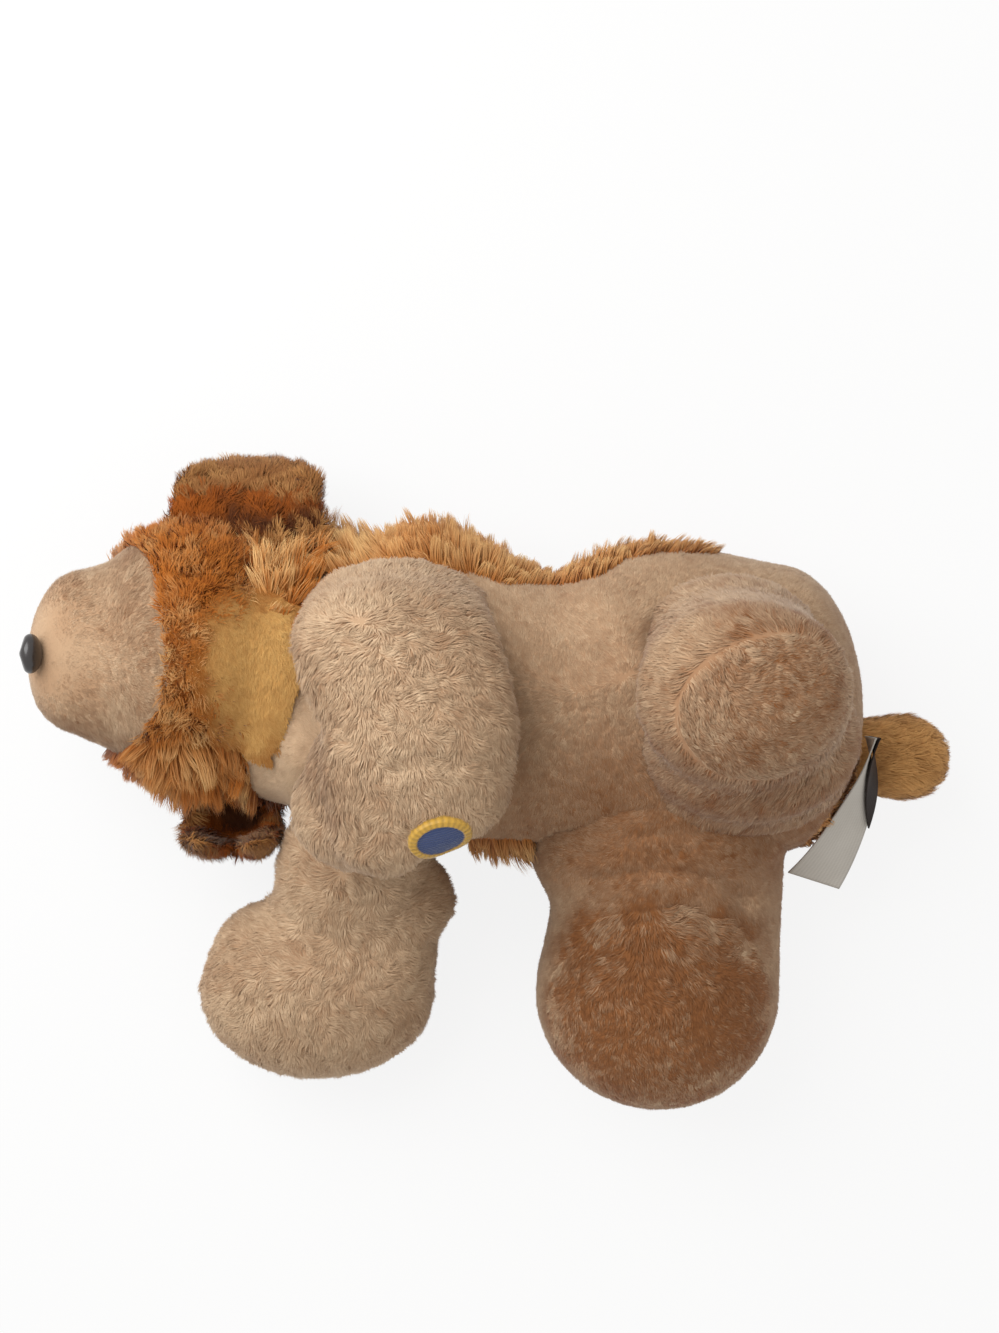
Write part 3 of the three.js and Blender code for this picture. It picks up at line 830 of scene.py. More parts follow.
@dataclass
class Growth:
    """Where and how a coat grows on one skin."""

    coat: Coat
    comb: Comb
    seed: int
    tone: Field
    region: Optional[Region] = None
    length: Optional[Field] = None

    def __post_init__(self) -> None:
        """Starts the source of chance."""
        self.rng = np.random.default_rng(self.seed)

    def scattered(self, skin: Skin, panel: Optional[Region]) -> tuple[Array, Array, Array]:
        """Roots spread evenly over the region.

        Args:
            skin: Fabric that the pile grows on.
            panel: Where the panel is on the fabric.

        Returns:
            The roots, the outward directions there, and which lie under another part.
        """
        a, b, c = (skin.points[skin.triangles[:, corner]] for corner in range(3))
        area = np.linalg.norm(np.cross(b - a, c - a), axis=1) / 2
        upright = smoothstep(-0.7, -0.2, skin.outward[skin.triangles].mean(1)[:, 2])
        share = UNDERSIDE_SHARE + (1 - UNDERSIDE_SHARE) * upright
        number = np.floor(area * self.coat.per_mm2 * share + self.rng.random(len(area))).astype(int)
        owner = np.repeat(np.arange(len(area)), number)
        spread = np.sqrt(self.rng.random(len(owner)))
        slide = self.rng.random(len(owner))
        weights = np.stack([1 - spread, spread * (1 - slide), spread * slide], axis=1)[..., None]
        corners = skin.triangles[owner]
        roots = (skin.points[corners] * weights).sum(1)
        normals = unit((skin.outward[corners] * weights).sum(1))
        for region in filter(None, (panel, self.region)):
            kept = region(roots, normals)
            roots, normals = roots[kept], normals[kept]
        covered = np.zeros(len(roots), bool)
        for cover in skin.covers:
            covered |= cover.inside(roots, COVER_DEPTH)
        return roots, normals, covered

    def leaders(self, roots: Array) -> Array:
        """For each strand, the strand that its tuft gathers to.

        Args:
            roots: Places of the roots.

        Returns:
            One strand's number for each strand.
        """
        count = max(1, int(len(roots) / (self.coat.per_mm2 * self.coat.tuft**2)))
        chosen = self.rng.choice(len(roots), min(count, len(roots)), replace=False)
        tree = KDTree(len(chosen))
        for number in chosen:
            tree.insert(roots[number], int(number))
        tree.balance()
        return np.array([tree.find(root)[1] for root in roots])

    def grown(self, skin: Skin, panel: Optional[Region]) -> Pile:
        """Grows the coat.

        Args:
            skin: Fabric that the pile grows on.
            panel: Where the panel is on the fabric.

        Returns:
            The strands.
        """
        coat, rng = self.coat, self.rng
        roots, normals, covered = self.scattered(skin, panel)
        count = len(roots)
        leader = self.leaders(roots)
        ways = self.comb.ways(roots, normals)
        stray = rng.normal(0, coat.unruly, (count, 1))
        ways = unit(ways * np.cos(stray) + np.cross(normals, ways) * np.sin(stray))
        chance = rng.normal(size=count)
        uneven = 1 + coat.vary * (0.6 * chance[leader] + 0.5 * chance)
        length = coat.length * np.clip(uneven, *LENGTH_LIMITS)
        if self.length is not None:
            length = length * self.length(roots)
        length = np.where(covered, np.minimum(length, COVERED_LENGTH), length)
        lift = rng.normal(0, coat.lift, count)
        line = [roots - normals * min(MOST_SINK, ROOT_SINK * coat.length)]
        for joint in range(coat.joints):
            share = (joint + 0.5) / coat.joints
            lean = coat.root_lean + (coat.tip_lean - coat.root_lean) * share + lift
            lean = np.radians(np.clip(lean, *LEAN_LIMITS))
            step = normals * np.cos(lean)[:, None] + ways * np.sin(lean)[:, None]
            line.append(line[-1] + step * (length / coat.joints)[:, None])
        centre = np.stack(line, axis=1)
        along = np.linspace(0, 1, coat.joints + 1)
        pull = coat.gather * along**1.3 * rng.uniform(0.6, 1.0, (count, 1))
        centre = centre + pull[..., None] * (centre[leader] - centre)
        centre[..., 2] = np.maximum(centre[..., 2], FLOOR_CLEAR)
        return self.bladed(centre, normals, self.toned(roots, leader))

    def toned(self, roots: Array, leader: Array) -> Array:
        """Tone of each strand, from pale at 0 to deep at 1.

        Args:
            roots: Places of the roots.
            leader: The strand that each tuft gathers to.

        Returns:
            One tone for each strand.
        """
        tufts, strands = self.coat.mottle * self.rng.normal(size=(2, len(roots)))
        patches = self.coat.mottle * waves(roots, 26, self.seed + 7)
        return np.clip(self.tone(roots) + patches + tufts[leader] + strands, *TONE_LIMITS)

    def bladed(self, centre: Array, normals: Array, tones: Array) -> Pile:
        """Makes a tapering blade round each strand's line.

        Args:
            centre: Line of each strand from root to tip.
            normals: Outward direction at each root.
            tones: Tone of each strand.

        Returns:
            The strands.
        """
        coat, count = self.coat, len(centre)
        way = unit(centre[:, -1] - centre[:, 0])
        side = unit(np.cross(way, normals))
        turn = self.rng.normal(0, coat.twist, (count, 1))
        side = unit(side * np.cos(turn) + np.cross(way, side) * np.sin(turn))
        face = np.cross(side, way)
        face = face * np.where((face * normals).sum(1, keepdims=True) < 0, -1, 1)
        rounded = unit(coat.relief * face + normals)
        half = coat.width * self.rng.uniform(*WIDTH_RANGE, (count, 1))
        corners = 2 * coat.joints + 1
        points = np.empty((count, corners, 3))
        shading = np.empty((count, corners, 3))
        places = np.empty((count, corners, 2))
        for joint in range(coat.joints):
            share = joint / coat.joints
            taper = half * (1 - share**1.6)
            for number, sign in enumerate((-1, 1)):
                corner = 2 * joint + number
                points[:, corner] = centre[:, joint] + sign * side * taper
                shading[:, corner] = unit(rounded + sign * 0.7 * coat.relief * side)
                places[:, corner, 0] = tones + sign * 0.008
                places[:, corner, 1] = share
        points[:, -1] = centre[:, -1]
        shading[:, -1] = unit(rounded + 0.2 * way)
        places[:, -1, 0] = tones
        places[:, -1, 1] = 1
        points[..., 2] = np.maximum(points[..., 2], FLOOR_CLEAR)
        return Pile(points, shading, places, coat.joints)


def plush_piece(
    name: str, skin: Skin, panel: Optional[Region], growths: Sequence[Growth], finish: Plush
) -> bpy.types.Object:
    """One plush panel: its fabric and the pile that stands on it.

    Args:
        name: Name of the piece.
        skin: The part's fabric.
        panel: Where the panel is on the fabric, or None for all of it.
        growths: Coats that grow on it.
        finish: What it is made of.

    Returns:
        The object.
    """
    quads = np.array(skin.quads)
    if panel is not None:
        middle, outward = skin.points[quads].mean(1), unit(skin.outward[quads].mean(1))
        quads = quads[panel(middle, outward)]
    used, renumbered = np.unique(quads, return_inverse=True)
    base = skin.points[used]
    # The fabric is painted a deeper tone than its pile: painted shade under the strands.
    tone = np.clip(growths[0].tone(base) + FABRIC_PAINTED_SHADE, 0, 0.96)
    ripple = FABRIC_ALONG + 0.02 * np.sin(base @ np.array([1.7, 2.3, 1.1]))
    blocks = [base]
    shading = [skin.outward[used]]
    maps = [np.stack([tone, ripple], axis=1)]
    loops = [renumbered.ravel()]
    counts = [np.full(len(quads), 4)]
    total = len(base)
    for each in growths:
        pile = each.grown(skin, panel)
        pattern, sizes = pile.faces()
        strands = len(pile.points)
        first = total + np.arange(strands)[:, None] * pile.corners
        blocks.append(pile.points.reshape(-1, 3))
        shading.append(pile.normals.reshape(-1, 3))
        maps.append(pile.places.reshape(-1, 2))
        loops.append((first + pattern).ravel())
        counts.append(np.tile(sizes, strands))
        total += strands * pile.corners
    corners = np.concatenate(loops)
    mesh = woven(name, np.vstack(blocks), corners, np.concatenate(counts), np.vstack(maps))
    free = mesh.attributes.new("custom_normal", "FLOAT_VECTOR", "POINT")
    free.data.foreach_set("vector", np.vstack(shading).astype(np.float32).ravel())
    mesh.materials.append(finish.material())
    made = linked(name, mesh)
    LOG.info("%s: %d faces", name, len(mesh.polygons))
    return made


def woven(name: str, points: Array, loops: Array, counts: Array, places: Array) -> bpy.types.Mesh:
    """Mesh made from arrays, with the pile map.

    Args:
        name: Name of the mesh.
        points: Its points, in millimetres.
        loops: Corner numbers of its faces, one after another.
        counts: How many corners each face has.
        places: Place of each point on the pile map.

    Returns:
        The mesh.
    """
    mesh = bpy.data.meshes.new(name)
    mesh.vertices.add(len(points))
    mesh.vertices.foreach_set("co", (points * MM).astype(np.float32).ravel())
    mesh.loops.add(len(loops))
    mesh.loops.foreach_set("vertex_index", loops.astype(np.int32))
    mesh.polygons.add(len(counts))
    starts = np.concatenate([[0], np.cumsum(counts)[:-1]])
    mesh.polygons.foreach_set("loop_start", starts.astype(np.int32))
    mesh.update(calc_edges=True)
    layer = mesh.uv_layers.new(name=PILE_MAP)
    layer.uv.foreach_set("vector", places[loops].astype(np.float32).ravel())
    return mesh


def gridded(name: str, points: Array, places: Array) -> bpy.types.Object:
    """Smooth object over a grid whose last column joins the first, with both ends closed.

    Args:
        name: Name of the object.
        points: Rows, columns and coordinates, in millimetres.
        places: Rows, columns and pile-map coordinates.

    Returns:
        The object.
    """
    rows, columns, _ = points.shape
    number = np.arange(rows * columns).reshape(rows, columns)
    right = np.roll(number, -1, axis=1)
    sides = np.stack([number[:-1], right[:-1], right[1:], number[1:]], axis=-1).reshape(-1, 4)
    step = np.arange(columns // 2 - 1)
    strip = np.stack([step, columns - 1 - step, columns - 2 - step, step + 1], axis=-1)
    quads = np.vstack([sides, strip, strip[:, ::-1] + (rows - 1) * columns])
    corners = np.full(len(quads), 4)
    mesh = woven(name, points.reshape(-1, 3), quads.ravel(), corners, places.reshape(-1, 2))
    mesh.polygons.foreach_set("use_smooth", np.ones(len(quads), bool))
    return linked(name, mesh)


def filled(piece: bpy.types.Object, body: str, fill: float, *nodes: str) -> None:
    """Lets a stuffed piece ride on a body.

    Args:
        piece: The piece.
        body: Body that it moves with.
        fill: Not used.
        nodes: Solids that it stands for.
    """
    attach(piece, body)
    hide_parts(*nodes)


def sewn(
    piece: bpy.types.Object, body: str, bend: tuple[Point, Point], fill: float, *nodes: str
) -> None:
    """Bakes a stuffed piece's placement into its mesh, and hides the solids that it stands for.

    Args:
        piece: The piece.
        body: Not used.
        bend: Where the bend starts, at the torso, and where it ends; turned into metres but not
            used.
        fill: Not used.
        nodes: Solids that it stands for.
    """
    start, end = (tuple(value * MM for value in place) for place in bend)
    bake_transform(piece)
    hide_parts(*nodes)


def fitted(piece: bpy.types.Object, finish: Finish, body: str, node: str) -> None:
    """Finishes a piece without pile and fixes it to a body.

    Args:
        piece: The piece.
        finish: What it is made of.
        body: Body that it moves with.
        node: Solid that it stands for.
    """
    piece.data.materials.append(finish.material())
    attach(piece, body)
    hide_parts(node)


MATTED = Coat(
    length=3.6,
    per_mm2=7.5,
    width=0.34,
    root_lean=60,
    tip_lean=85,
    tuft=1.6,
    gather=0.5,
    relief=0.18,
    unruly=0.32,
    mottle=0.09,
    lift=4.0,
)
SOLE = replace(MATTED, root_lean=58, tip_lean=84, mottle=0.1)
SUEDE = Coat(2.4, 11.0, 0.3, 62, 85, 1.8, 0.22, 0.12, unruly=0.35, joints=1, mottle=0.09, lift=4.0)
VELVET = Coat(1.8, 11.0, 0.28, 60, 84, 1.5, 0.3, 0.12, unruly=0.4, joints=1, mottle=0.06, lift=4.0)
LONG = Coat(8.5, 4.6, 0.34, 30, 60, 2.6, 0.8, 0.4, vary=0.3, joints=3, twist=0.45)
SPIKY = replace(
    LONG, root_lean=24, tip_lean=56, tuft=1.9, gather=0.85, unruly=0.55, vary=0.4, mottle=0.24
)
FUZZ = Coat(3.8, 7.0, 0.3, 14, 52, 1.8, 0.45, 0.2, unruly=1.2, vary=0.3, twist=0.6)
NAPPED = Coat(3.2, 8.0, 0.3, 34, 70, 2.0, 0.5, 0.2, unruly=0.8, vary=0.3, twist=0.4)


SKULL = Oval((-102.0, 16.0, 33.0), (31.0, 36.5, 35.0))
NECK = Oval((-79.0, 11.0, 34.0), (27.0, 37.0, 27.0))


def belly_tone(points: Array) -> Array:
    """Tone of the belly and the thighs: deeper over the hind half and the lower flank, paler over
    the chest, partly as painted shade and light.
    """
    x, y, _ = points.T
    # The low and hind terms: partly the fabric's warmer tan, partly painted shade where the light
    # falls off towards the tail and the right flank.
    low = smoothstep(4, -24, y) * smoothstep(-52, -34, y) * smoothstep(-40, -15, x)
    hind = smoothstep(-30, 5, x) * smoothstep(40, 14, y)
    # The chest term: partly the chest's paler cream, partly painted light on the strip that the leg
    # shades.
    return 0.33 + 0.15 * hind + 0.28 * low - 0.3 * smoothstep(-55, -66, x)


@dataclass
class Torso:
    """Body and neck: cream belly, golden-brown back and mane."""

    height: float = 32.0
    seam: float = 22.0
    chest: tuple = (-48.0, 9.0, 44.5, 34.0)
    waist: tuple = (-11.0, 0.5, 38.5, 33.5)
    hips: tuple = (20.0, 1.8, 45.8, 35.0)
    rump: tuple = (52.0, 2.0, 40.0, 34.0)
    chest_round: float = 24.0
    rump_round: float = 23.0
    neck_end: float = -66.0
    inset: float = 1.5

    def cut(self) -> None:
        """Cuts the fabric of the body with the neck."""
        rows = (self.chest, self.waist, self.hips, self.rump)
        sections = tuple(Section(x, y, self.height, wide, deep) for x, y, wide, deep in rows)
        body = Tube(sections, (0, 1, 0), self.chest_round, self.rump_round)
        folds = (
            Crease(((2, 28), (10, 22), (13, 12)), -1.8, 7.0),
            Crease(((4, 16), (13, 17), (17, 24)), 1.2, 2.4),
        )
        shoulder = Oval((-62.5, 22.0, 32.0), (19.0, 28.0, 24.0))
        breast = Oval((-72.0, -8.0, 38.0), (14.0, 20.0, 22.0))
        self.skin = Skin("body_fabric", (body, NECK, shoulder, breast), self.inset, folds)

    def on_neck(self, points: Array, normals: Array) -> Array:
        """Which points are on the neck, whose seam runs aslant over the chest."""
        x, y, z = points.T
        aslant = 18 * smoothstep(28, 2, y) * smoothstep(28, 38, z)
        return x < self.neck_end - 0.12 * (z - self.height) - aslant

    def on_back(self, points: Array) -> Array:
        """Which points are on the back panel, which climbs up the left flank and the waist."""
        x, y, z = points.T
        dip = smoothstep(-30, -20, x) * smoothstep(12, 2, x)
        left = y > 36 - 2.5 * dip + 6 * smoothstep(-8, 22, x) + 30 * smoothstep(34, 46, x)
        waist = (y < -31) & (x > -30) & (x < -14 - 0.72 * (y + 31))
        rump = (y < -8) & (x > 69 + 0.58 * (y + 11.6))
        return (z < self.seam) | left | waist | rump

    def back_length(self, points: Array) -> Array:
        """Back pile: long at the shoulders and the lower waist, short at the rump."""
        x, y, _ = points.T
        shoulder = smoothstep(-18, -40, x) * smoothstep(0, 30, y)
        waist = smoothstep(-30, -20, x) * smoothstep(8, -2, x) * smoothstep(-10, -25, y)
        rump = smoothstep(30, 44, x)
        hip = smoothstep(0, 12, x) * smoothstep(0, 20, y)
        return (0.6 + 0.15 * shoulder + 0.2 * waist - 0.1 * hip) * (1 - 0.6 * rump)

    def mane_length(self, points: Array) -> Array:
        """Mane: longest between the ear and the shoulder."""
        x, y, _ = points.T
        ear = smoothstep(36, 46, y) * smoothstep(-74, -80, x)
        return (0.7 + 0.3 * smoothstep(25, 42, y)) * (1 - 0.5 * ear)

    def mane_tone(self, points: Array) -> Array:
        """Mane: paler towards the shoulder."""
        x, y, _ = points.T
        pale = smoothstep(20, 34, y) * smoothstep(-96, -84, x)
        return 0.84 - 0.26 * pale + 0.1 * waves(points, 10, 15)

    def dress(self) -> None:
        """Grows the pile on the three panels."""
        short = Growth(VELVET, Comb(Lay.OUT_FROM, (-4.0, 14.0, 110.0), seed=11), 21, belly_tone)
        long = Growth(
            coat=LONG,
            comb=Comb(Lay.OUT_FROM, (-30.0, 0.0, 60.0), seed=12),
            seed=22,
            tone=lambda p: 0.5 - 0.15 * smoothstep(10, 24, p[:, 2]),
            length=self.back_length,
        )
        spiky = Growth(
            coat=SPIKY,
            comb=Comb(Lay.OUT_FROM, (-88.0, 11.0, 50.0), wander=0.35, seed=14),
            seed=24,
            tone=self.mane_tone,
            region=lambda p, n: throat_round(p) > 0.7 + 0.25 * waves(p, 5, 18),
            length=self.mane_length,
        )

        def on_belly(points: Array, normals: Array) -> Array:
            """Which points are on the belly panel."""
            return ~self.on_neck(points, normals) & ~self.on_back(points)

        def behind(points: Array, normals: Array) -> Array:
            """Which points are on the back panel and not on the neck."""
            return ~self.on_neck(points, normals) & self.on_back(points)

        belly = plush_piece("belly_plush", self.skin, on_belly, [short], CREAM)
        back = plush_piece("back_plush", self.skin, behind, [long], GOLDEN)
        mane = plush_piece("mane_plush", self.skin, self.on_neck, [spiky], GOLDEN)
        filled(belly, "torso", BODY_FILL, "belly_panel", "body_stuffing", "pellet_bag")
        filled(back, "torso", BODY_FILL, "back_panel")
        filled(mane, "torso", BODY_FILL, "nape_panel")


def throat_round(points: Array) -> Array:
    """How far points are from the middle of the throat, with its edge at 1."""
    return (np.abs(points[:, 0] + 83) / 14.5) ** 2.4 + (np.abs(points[:, 1] - 11) / 22) ** 2.4


def on_throat(points: Array, normals: Array) -> Array:
    """Which points are on the pale gold patch under the chin."""
    x, y, z = points.T
    chest = x < -70 + 0.365 * (np.minimum(y, 13.4) - 13.4)
    return (throat_round(points) < 1 + 0.15 * waves(points, 8, 17)) & chest & (z > 40)


@dataclass
class Throat:
    """Pale gold patch that runs from the chest to the chin, over the nodding neck."""

    forms: tuple = (SKULL, NECK)
    inset: float = -0.1
    bend: tuple[Point, Point] = ((-76.0, 11.0, 50.0), (-92.0, 11.0, 50.0))

    def cut(self) -> None:
        """Cuts the fabric over chin and neck."""
        self.skin = Skin("throat_fabric", self.forms, self.inset)

    def tone(self, points: Array) -> Array:
        """Pale in the middle, running into brown at the edge and towards the chin."""
        edge = smoothstep(0.3, 1.0, throat_round(points) + 0.12 * waves(points, 11, 3))
        return 0.2 + 0.5 * edge + 0.25 * smoothstep(-86, -97, points[:, 0])

    def dress(self) -> None:
        """Grows the short pile, bakes the piece in place and hides the throat panel's solid."""
        comb = Comb(Lay.ALONG, (0.6, -1.0, 0.0), seed=13)
        growth = Growth(VELVET, comb, 23, self.tone)
        piece = plush_piece("throat_plush", self.skin, on_throat, [growth], PALE_GOLD)
        sewn(piece, "head", self.bend, BODY_FILL, "throat_panel")


class Side(Enum):
    """The dog's two sides."""

    LEFT = 1
    RIGHT = -1


@dataclass
class Head:
    """Head: golden-brown cheeks and crown, cream muzzle, nose and eyes."""

    skull: Oval = SKULL
    face: Oval = Oval((-104.0, 13.5, 33.0), (31.0, 39.0, 35.0))
    muzzle: Tube = Tube(
        (
            Section(-112.0, 15.0, 40.0, 27.5, 21.0),
            Section(-124.5, 16.6, 42.5, 24.5, 19.5),
            Section(-131.5, 17.4, 45.0, 22.3, 16.6),
        ),
        sideways=(0, 1, 0),
        start_round=11.5,
        end_round=13.0,
    )
    seam_x: float = -116.0
    seam_lean: float = 0.55
    seam_height: float = 40.0
    nose_place: Point = (-139.2, 16.2, 58.7)
    nose_half: Point = (2.8, 5.0, 4.3)
    nose_way: Point = (-0.65, 0.0, 0.76)
    nostril_width: float = 1.5
    nostril_depth: float = 1.2
    eye_way: Point = (-0.74, 0.36, -0.57)
    eye_radius: float = 5.5
    eye_height: float = 3.8
    inset: float = 0.8

    def cut(self) -> None:
        """Cuts the fabric of the head."""
        self.skin = Skin("head_fabric", (self.skull, self.muzzle), self.inset)

    def on_muzzle(self, points: Array, normals: Array) -> Array:
        """Which points are in front of the muzzle seam."""
        x, y, z = points.T
        aslant = 3.0 + 0.35 * np.maximum(4 - y, 0) * smoothstep(30, 40, z)
        return x < self.seam_x + self.seam_lean * (z - self.seam_height) - aslant

    def dress(self) -> None:
        """Grows the pile, and sets the nose and the eyes."""

        def cheeks(points: Array) -> Array:
            """Long at the cheeks and over the crown, shorter at the ear and below it."""
            x, y, _ = points.T
            low = smoothstep(0, -12, y) * smoothstep(-104, -112, x)
            root = smoothstep(36, 48, y) * smoothstep(-122, -114, x)
            return 0.95 * (1 - 0.35 * low) * (1 - 0.6 * root)

        def chin(points: Array) -> Array:
            """Which points are in the band under the chin."""
            return (np.abs(points[:, 1] - self.skull.centre[1] - 6) < 27) & (points[:, 2] > 40)

        nose_spot = np.array(self.nose_place)
        long = Growth(
            coat=LONG,
            comb=Comb(Lay.OUT_FROM, (-101.0, 13.0, 62.0), wander=0.45, seed=31),
            seed=41,
            tone=lambda p: 0.6 + 0.2 * waves(p, 22, 5) + 0.04 * smoothstep(8, -8, p[:, 1]),
            region=lambda p, n: (throat_round(p) > 0.7 + 0.25 * waves(p, 5, 19)) & ~chin(p),
            length=cheeks,
        )
        fuzz = Growth(
            coat=FUZZ,
            comb=Comb(Lay.OUT_FROM, (-103.0, 13.0, 68.0), wander=1.2, size=7, seed=33),
            seed=43,
            tone=lambda p: 0.62 + 0.2 * waves(p, 9, 5) + 0.3 * smoothstep(20, 30, p[:, 1]),
            region=lambda p, n: (throat_round(p) > 0.6 + 0.3 * waves(p, 4, 20)) & chin(p),
        )
        suede = Growth(
            coat=SUEDE,
            comb=Comb(Lay.OUT_FROM, self.nose_place, wander=0.4, seed=32),
            seed=42,
            tone=lambda p: 0.32 + 0.08 * waves(p, 16, 6),
            length=lambda p: 0.3 + 0.6 * smoothstep(6, 28, np.linalg.norm(p - nose_spot, axis=1)),
        )
        crown = plush_piece(
            "head_plush", self.skin, lambda p, n: ~self.on_muzzle(p, n), [long, fuzz], GOLDEN
        )
        muzzle = plush_piece("muzzle_plush", self.skin, self.on_muzzle, [suede], CREAM)
        filled(crown, "head", HEAD_FILL, "head_panel", "head_stuffing")
        filled(muzzle, "head", HEAD_FILL, "muzzle_panel")
        self.set_nose()
        for side in Side:
            self.set_eye(side)

    def set_nose(self) -> None:
        """Moulded nose with two nostrils."""
        rows, columns = 40, 64
        middle, half = np.array(self.nose_place), np.array(self.nose_half)
        points = middle + np.roll(ball(rows, columns, trim=0.001), 1, axis=-1) * half
        for side in Side:
            spot = middle + half * np.array([-0.85, 0.46 * side.value, 0.35])
            dent = np.exp(-((np.linalg.norm(points - spot, axis=-1) / self.nostril_width) ** 2))
            points -= self.nostril_depth * dent[..., None] * np.array(self.nose_way)
        down, turn = np.linspace(0, 1, rows), np.linspace(0, 1, columns, endpoint=False)
        places = np.stack(np.meshgrid(down, turn, indexing="ij"), axis=-1)
        nose = gridded("nose_button", points, places)
        fitted(nose, BLACK_PLASTIC, "head", "nose")

    def set_eye(self, side: Side) -> None:
        """Glossy domed eye on the face.

        Args:
            side: Which eye.
        """
        way = np.array(self.eye_way) * np.array([1, side.value, 1])
        way = way / np.linalg.norm(way)
        seat = np.array(self.face.centre) + way * np.array(self.face.half)
        outward = unit(way / np.array(self.face.half))
        first = unit(np.cross(outward, np.array([0.0, 0.0, 1.0])))
        second = np.cross(outward, first)
        turn = np.linspace(0, math.tau, 48, endpoint=False)
        lift = np.linspace(-0.9, math.pi / 2 - 0.001, 24)
        flare = np.where(lift < 0, 1 + 0.1 * lift, 1)
        radius = self.eye_radius * np.cos(np.maximum(lift, 0)) * flare
        height = np.where(lift < 0, 2.0 * lift, self.eye_height * np.sin(lift))
        ring = first * np.cos(turn)[:, None] + second * np.sin(turn)[:, None]
        points = seat + radius[:, None, None] * ring[None] + height[:, None, None] * outward
        grid = np.broadcast_arrays(turn[None] / 6.3, (lift[:, None] + 0.9) / 2.5)
        places = np.stack(grid, axis=-1)
        name = f"{side.name.lower()}_eye"
        eye = gridded(f"{name}_dome", points, places)
        fitted(eye, EYE_PLASTIC, "head", name)


def even_tone(points: Array) -> Array:
    """Tone of the front legs: the same all over."""
    return np.full(len(points), 0.26)


@dataclass
class Leg:
    """One soft leg with its foot, sewn to the body."""

    name: str
    forms: tuple
    comb: Comb
    bend: tuple[Point, Point]
    seed: int
    creases: tuple = ()
    sole: Optional[Oval] = None
    sole_from: Point = (0.0, 0.0, 0.0)
    sole_tone: float = 0.6
    tone: Field = even_tone
    bare: Optional[Field] = None
    coat: Coat = MATTED
    inset: float = 1.8

    def cut(self) -> None:
        """Cuts the fabric of the leg."""
        self.skin = Skin(f"{self.name}_fabric", self.forms, self.inset, self.creases)

    def on_sole(self, points: Array, normals: Array) -> Array:
        """Which points are on the sole."""
        return self.sole_round(points) < 1

    def sole_round(self, points: Array) -> Array:
        """How far points are from the middle of the sole, with its edge at 1."""
        if self.sole is None:
            return np.full(len(points), 9.0)
        return (((points - np.array(self.sole.centre)) / np.array(self.sole.half)) ** 2).sum(1)

    def sole_length(self, points: Array) -> Array:
        """Sole pile: longest where it starts, shorter across the sole."""
        away = np.linalg.norm(points - np.array(self.sole_from), axis=1)
        return 1.05 - 0.5 * smoothstep(10, 40, away)

    def dress(self) -> None:
        """Grows the pile, bakes the piece in place and hides the leg's solids."""

        def furred(points: Array, normals: Array) -> Array:
            """Which points carry the short pile."""
            bare = self.bare(points) if self.bare else np.zeros(len(points), bool)
            return ~self.on_sole(points, normals) & ~(bare & (normals[:, 2] > 0))

        def tone(points: Array) -> Array:
            """Deeper on the sole."""
            away = self.sole_round(points) + 0.3 * waves(points, 10, self.seed)
            edge = smoothstep(1.9, 0.2, away)
            rest = self.tone(points)
            return rest + (self.sole_tone - rest) * edge

        growths = [Growth(self.coat, self.comb, self.seed, tone, furred)]
        if self.sole is not None:
            sole = Growth(
                coat=SOLE,
                comb=Comb(Lay.OUT_FROM, self.sole_from, twist=0.25, size=12, seed=self.seed),
                seed=self.seed + 1,
                tone=tone,
                region=self.on_sole,
                length=self.sole_length,
            )
            growths.append(sole)
        piece = plush_piece(f"{self.name}_plush", self.skin, None, growths, CREAM)
        sewn(piece, self.name, self.bend, BODY_FILL, f"{self.name}_skin", f"{self.name}_stuffing")


@dataclass
class Tail:
    """Golden-brown stub tail."""

    forms: tuple = (
        Oval((70.0, -11.0, 24.0), (11.5, 11.5, 11.5)),
        Tube(
            (Section(70.0, -10.5, 24.0, 11.0, 10.5), Section(86.0, -11.4, 25.0, 13.4, 12.2)),
            sideways=(0, 1, 0),
            start_round=6.5,
            end_round=13.8,
        ),
    )
    bend: tuple[Point, Point] = ((72.0, -11.0, 24.0), (82.0, -11.0, 25.0))
    inset: float = 1.4

    def cut(self) -> None:
        """Cuts the fabric of the tail."""
        self.skin = Skin("tail_fabric", self.forms, self.inset)

    def dress(self) -> None:
        """Grows the pile, bakes the piece in place and hides the tail's solids."""
        comb = Comb(Lay.ALONG, (1.0, 0.0, 0.1), wander=0.5, seed=71)
        growth = Growth(MATTED, comb, 72, lambda p: 0.3 + 0.12 * waves(p, 12, 8))
        piece = plush_piece("tail_plush", self.skin, None, [growth], BROWN)
        sewn(piece, "tail", self.bend, TAIL_FILL, "tail_skin", "tail_stuffing")


